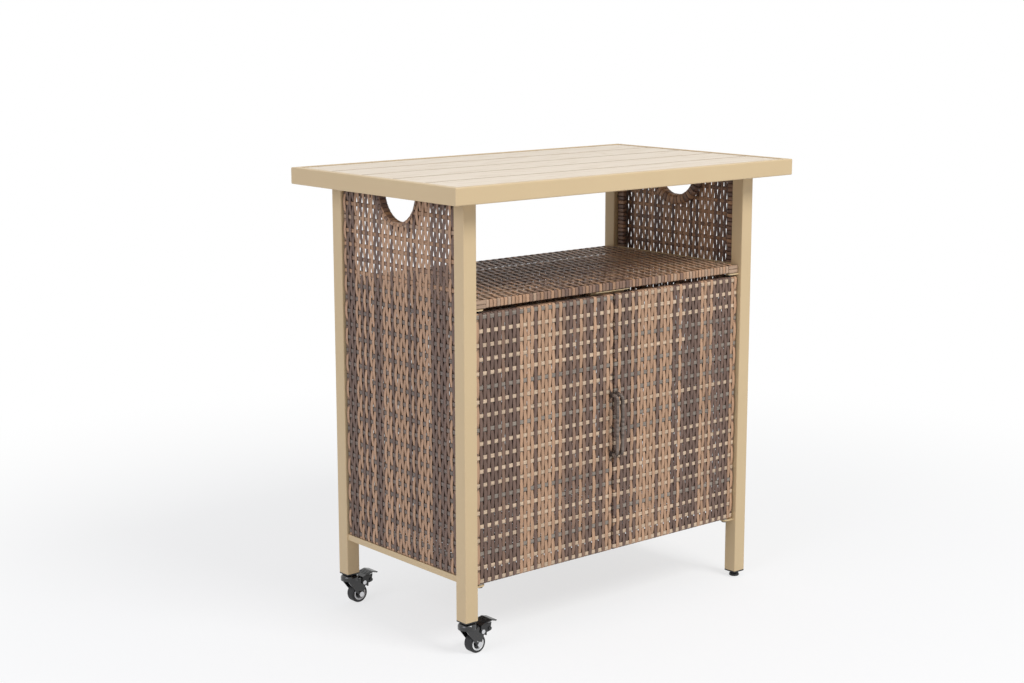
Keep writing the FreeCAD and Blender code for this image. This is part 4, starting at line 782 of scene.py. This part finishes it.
def wound_handle(name, x, body, replaced):
    """A tube round the rod. Its radius is WIND_RADIUS + WIND_RISE * sqrt(|sin(pi * turns)|), where
    turns counts one for each WIND_PITCH along the rod and one for each way round it, so the
    surface rises between fine grooves as wound strand does."""
    steps, places = bent_rod(x)
    forward = unit(np.gradient(places, axis=0))
    side = np.tile([1.0, 0.0, 0.0], (len(steps), 1))
    away = np.cross(forward, side)
    angle = np.arange(WIND_AROUND) / WIND_AROUND * 2 * math.pi
    turns = steps[:, None] / WIND_PITCH + angle / (2 * math.pi)
    radius = WIND_RADIUS + WIND_RISE * np.sqrt(np.abs(np.sin(math.pi * turns)))
    points = (places[:, None] + (radius * np.cos(angle))[..., None] * side[:, None]
              + (radius * np.sin(angle))[..., None] * away[:, None])
    index = np.arange(points[..., 0].size).reshape(points.shape[:2])
    turned = np.roll(index, -1, axis=1)
    quads = np.stack([index[:-1], index[1:], turned[1:], turned[:-1]], axis=-1).reshape(-1, 4)
    mesh = bpy.data.meshes.new(name)
    faces = quads.tolist() + [index[0].tolist(), index[-1, ::-1].tolist()]
    mesh.from_pydata(points.reshape(-1, 3).tolist(), [], faces)
    mesh.polygons.foreach_set("use_smooth", np.ones(len(faces), bool))
    lay = mesh.attributes.new("lay", "FLOAT_VECTOR", "POINT")
    along = np.stack(np.broadcast_arrays(turns, steps[:, None], 0 * angle), axis=-1)
    lay.data.foreach_set("vector", along.ravel())
    mesh.materials.append(handle_wrap)
    piece = bpy.data.objects.new(name, mesh)
    bpy.context.scene.collection.objects.link(piece)
    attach(piece, body)
    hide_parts(replaced)


handle_wrap, tree, shader = new_material("handle_wrap")
lay = add_node(tree, "Attribute", {"attribute_name": "lay"})
wind = add_node(tree, "SeparateXYZ", inputs={"Vector": lay.outputs["Vector"]})
turn_number = add_node(tree, "Math", {"operation": "FLOOR"}, {0: wind.outputs["X"]})
turn_tone = add_node(tree, "TexWhiteNoise", {"noise_dimensions": "1D"},
                     {"W": turn_number.outputs[0]})
grain_place = add_node(tree, "Mapping", inputs={"Vector": lay.outputs["Vector"],
                                                "Scale": (9.0, 60.0, 1.0)})
grain = add_node(tree, "TexNoise", inputs={"Vector": grain_place.outputs[0], "Scale": 1.0,
                                           "Detail": 2.0})
both = add_node(tree, "Math", {"operation": "MULTIPLY_ADD"},
                {0: turn_tone.outputs["Value"], 1: TURN_CONTRAST, 2: grain.outputs["Fac"]})
both = add_node(tree, "MapRange", inputs={"Value": both.outputs[0], "From Min": 0.3,
                                          "From Max": 1.1})
wound = add_node(tree, "MixRGB", inputs={"Fac": both.outputs[0], "Color1": WIND_DARK,
                                         "Color2": WIND_PALE})
tree.links.new(wound.outputs[0], shader.inputs["Base Color"])
shader.inputs["Roughness"].default_value = 0.45
wound_handle("door_left_wound_handle", -HANDLE_X, "door_left", "door_left_handle")
wound_handle("door_right_wound_handle", HANDLE_X, "door_right", "door_right_handle")

# Lashings: turns round each foot, LASH_STEPS out from the door, and loose tails flat on the door.
LASH_RADIUS, LASH_HALF, LASH_THICK = 0.0046, 0.0012, 0.0006
LASH_STEPS = (0.0008, 0.0028, 0.0048)
TAIL_ENDS = ((-0.0085, 0.0150), (-0.0040, 0.0135), (0.0022, 0.0085), (-0.0078, -0.0125),
             (-0.0028, -0.0110))
TAIL_START, TAIL_TAPER, TAIL_THICK = 0.15, 1.2, 0.4
for door_name, sign in (("left", 1.0), ("right", -1.0)):
    lashing = []
    for foot in (HANDLE_LOW, HANDLE_HIGH):
        angle = np.linspace(0.0, 2 * math.pi, 17)[None]
        away = np.array(LASH_STEPS)[:, None]
        out = np.stack(np.broadcast_arrays(np.cos(angle), 0 * away, np.sin(angle)), axis=-1)
        hub = np.stack(np.broadcast_arrays(-sign * HANDLE_X, DOOR_FACE - away, foot + 0 * angle),
                       axis=-1)
        lashing.append(ribbon(hub + LASH_RADIUS * out, out, mixed_tones("kkk"), LASH_HALF,
                              LASH_THICK))
        share = np.linspace(TAIL_START, 1.0, 7)[None]
        reach = np.array(TAIL_ENDS)[..., None]
        tail = np.stack(np.broadcast_arrays(sign * (reach[:, 0] * share - HANDLE_X),
                                            DOOR_FACE - LASH_THICK + 0 * share,
                                            foot + reach[:, 1] * share), axis=-1)
        out = np.broadcast_to(np.array([0.0, -1.0, 0.0]), tail.shape)
        half = LASH_HALF * (TAIL_TAPER - share)
        lashing.append(ribbon(tail, out, mixed_tones("kdkkk"), half, half * TAIL_THICK))
    woven_piece("door_" + door_name + "_lashings", lashing, wicker, "door_" + door_name,
                "")

# Black plastic and plated steel
# Small fittings: spacers, bushings, plugs and feet in black nylon, hinge pins in blackened steel,
# washers and studs in zinc-plated steel, and nickel-plated magnets. They are moulded or turned, and
# pushed or screwed into place.
SPECK_DEPTH = 0.0002


def speckled(name, low_colour, high_colour, scale, roughness, metallic=0.0, bump=0.1, coat=0.0):
    """A moulded or plated finish: two close colours mixed by fine noise, with a slight relief."""
    material, tree, shader = new_material(name)
    place = add_node(tree, "TexCoord")
    noise = add_node(tree, "TexNoise", inputs={"Vector": place.outputs["Object"],
                                               "Scale": scale, "Detail": 3.0})
    colour = add_node(tree, "MixRGB", inputs={"Fac": noise.outputs["Fac"],
                                              "Color1": low_colour, "Color2": high_colour})
    tree.links.new(colour.outputs[0], shader.inputs["Base Color"])
    relief = add_node(tree, "Bump", inputs={"Height": noise.outputs["Fac"], "Strength": bump,
                                            "Distance": SPECK_DEPTH})
    tree.links.new(relief.outputs[0], shader.inputs["Normal"])
    shader.inputs["Roughness"].default_value = roughness
    shader.inputs["Metallic"].default_value = metallic
    shader.inputs["Coat Weight"].default_value = coat
    shader.inputs["Coat Roughness"].default_value = 0.12
    return material


black_nylon = speckled("black_nylon", linear(22, 22, 23), linear(34, 34, 35), 900.0, 0.5)
pin_black = speckled("pin_black", linear(20, 20, 21), linear(32, 32, 33), 700.0, 0.4)
zinc_steel = speckled("zinc_steel", linear(176, 178, 180), linear(198, 200, 202), 400.0, 0.35,
                      metallic=1.0)
magnet_steel = speckled("magnet_steel", linear(190, 190, 190), linear(210, 210, 210), 300.0,
                        0.22, metallic=1.0)
FITTINGS = {
    "panel_spacers": black_nylon, "foot_front": black_nylon, "foot_back": black_nylon,
    "foot_front_plug": black_nylon, "foot_back_plug": black_nylon,
    "door_left_bushings": black_nylon, "door_right_bushings": black_nylon,
    "hinge_pins": pin_black, "hinge_washers": zinc_steel, "panel_studs": zinc_steel,
    "door_left_magnet": magnet_steel, "door_right_magnet": magnet_steel,
}
for node, material in FITTINGS.items():
    finish_node(node, material)

# Casters
# Two small swivel casters under the left legs. Fork and brake pedal are pressed steel in gloss
# black, the tyre is black rubber on a nylon hub with a pale rim, and nuts and rivets are chromed.
WHEEL_Z = 0.019
WHEEL_X = -0.352
fork_black = speckled("fork_black", linear(16, 16, 17), linear(24, 24, 25), 260.0, 0.22,
                      bump=0.05, coat=0.6)
pedal_black = speckled("pedal_black", linear(18, 18, 19), linear(28, 28, 29), 500.0, 0.34,
                       bump=0.08, coat=0.25)
tyre_rubber = speckled("tyre_rubber", linear(26, 26, 27), linear(38, 38, 39), 1200.0, 0.62,
                       bump=0.25)
chrome_trim = speckled("chrome_trim", linear(205, 206, 208), linear(222, 223, 225), 200.0, 0.10,
                       metallic=1.0, bump=0.0)

HUB_RIM_INNER, HUB_RIM_OUTER, HUB_RIM_BLUR = 0.0104, 0.0136, 0.0002
hub_plastic, tree, shader = new_material("hub_plastic")
place = add_node(tree, "TexCoord")
parts = add_node(tree, "SeparateXYZ", inputs={"Vector": place.outputs["Object"]})
ahead = add_node(tree, "Math", {"operation": "SUBTRACT"}, {0: parts.outputs["X"], 1: WHEEL_X})
above = add_node(tree, "Math", {"operation": "SUBTRACT"}, {0: parts.outputs["Z"], 1: WHEEL_Z})
wheel_plane = add_node(tree, "CombineXYZ", inputs={"X": ahead.outputs[0], "Y": above.outputs[0]})
distance = add_node(tree, "VectorMath", {"operation": "LENGTH"}, {0: wheel_plane.outputs[0]})
rim_start = add_node(tree, "MapRange", inputs={"Value": distance.outputs["Value"],
                                               "From Min": HUB_RIM_INNER - HUB_RIM_BLUR,
                                               "From Max": HUB_RIM_INNER + HUB_RIM_BLUR})
rim_end = add_node(tree, "MapRange", inputs={"Value": distance.outputs["Value"],
                                             "From Min": HUB_RIM_OUTER - HUB_RIM_BLUR,
                                             "From Max": HUB_RIM_OUTER + HUB_RIM_BLUR,
                                             "To Min": 1.0, "To Max": 0.0})
rim = add_node(tree, "Math", {"operation": "MULTIPLY"},
               {0: rim_start.outputs[0], 1: rim_end.outputs[0]})
moulded = add_node(tree, "MixRGB", inputs={"Fac": rim.outputs[0], "Color1": linear(40, 40, 41),
                                           "Color2": linear(246, 246, 244)})
tree.links.new(moulded.outputs[0], shader.inputs["Base Color"])
shader.inputs["Roughness"].default_value = 0.38
CASTER_FINISHES = {"socket": black_nylon, "stem": chrome_trim, "fork": fork_black,
                   "axle": chrome_trim, "tyre": tyre_rubber, "hub": hub_plastic,
                   "pedal": pedal_black}
for end in ("front", "back"):
    for part_name, material in CASTER_FINISHES.items():
        finish_node("caster_" + end + "_" + part_name, material)
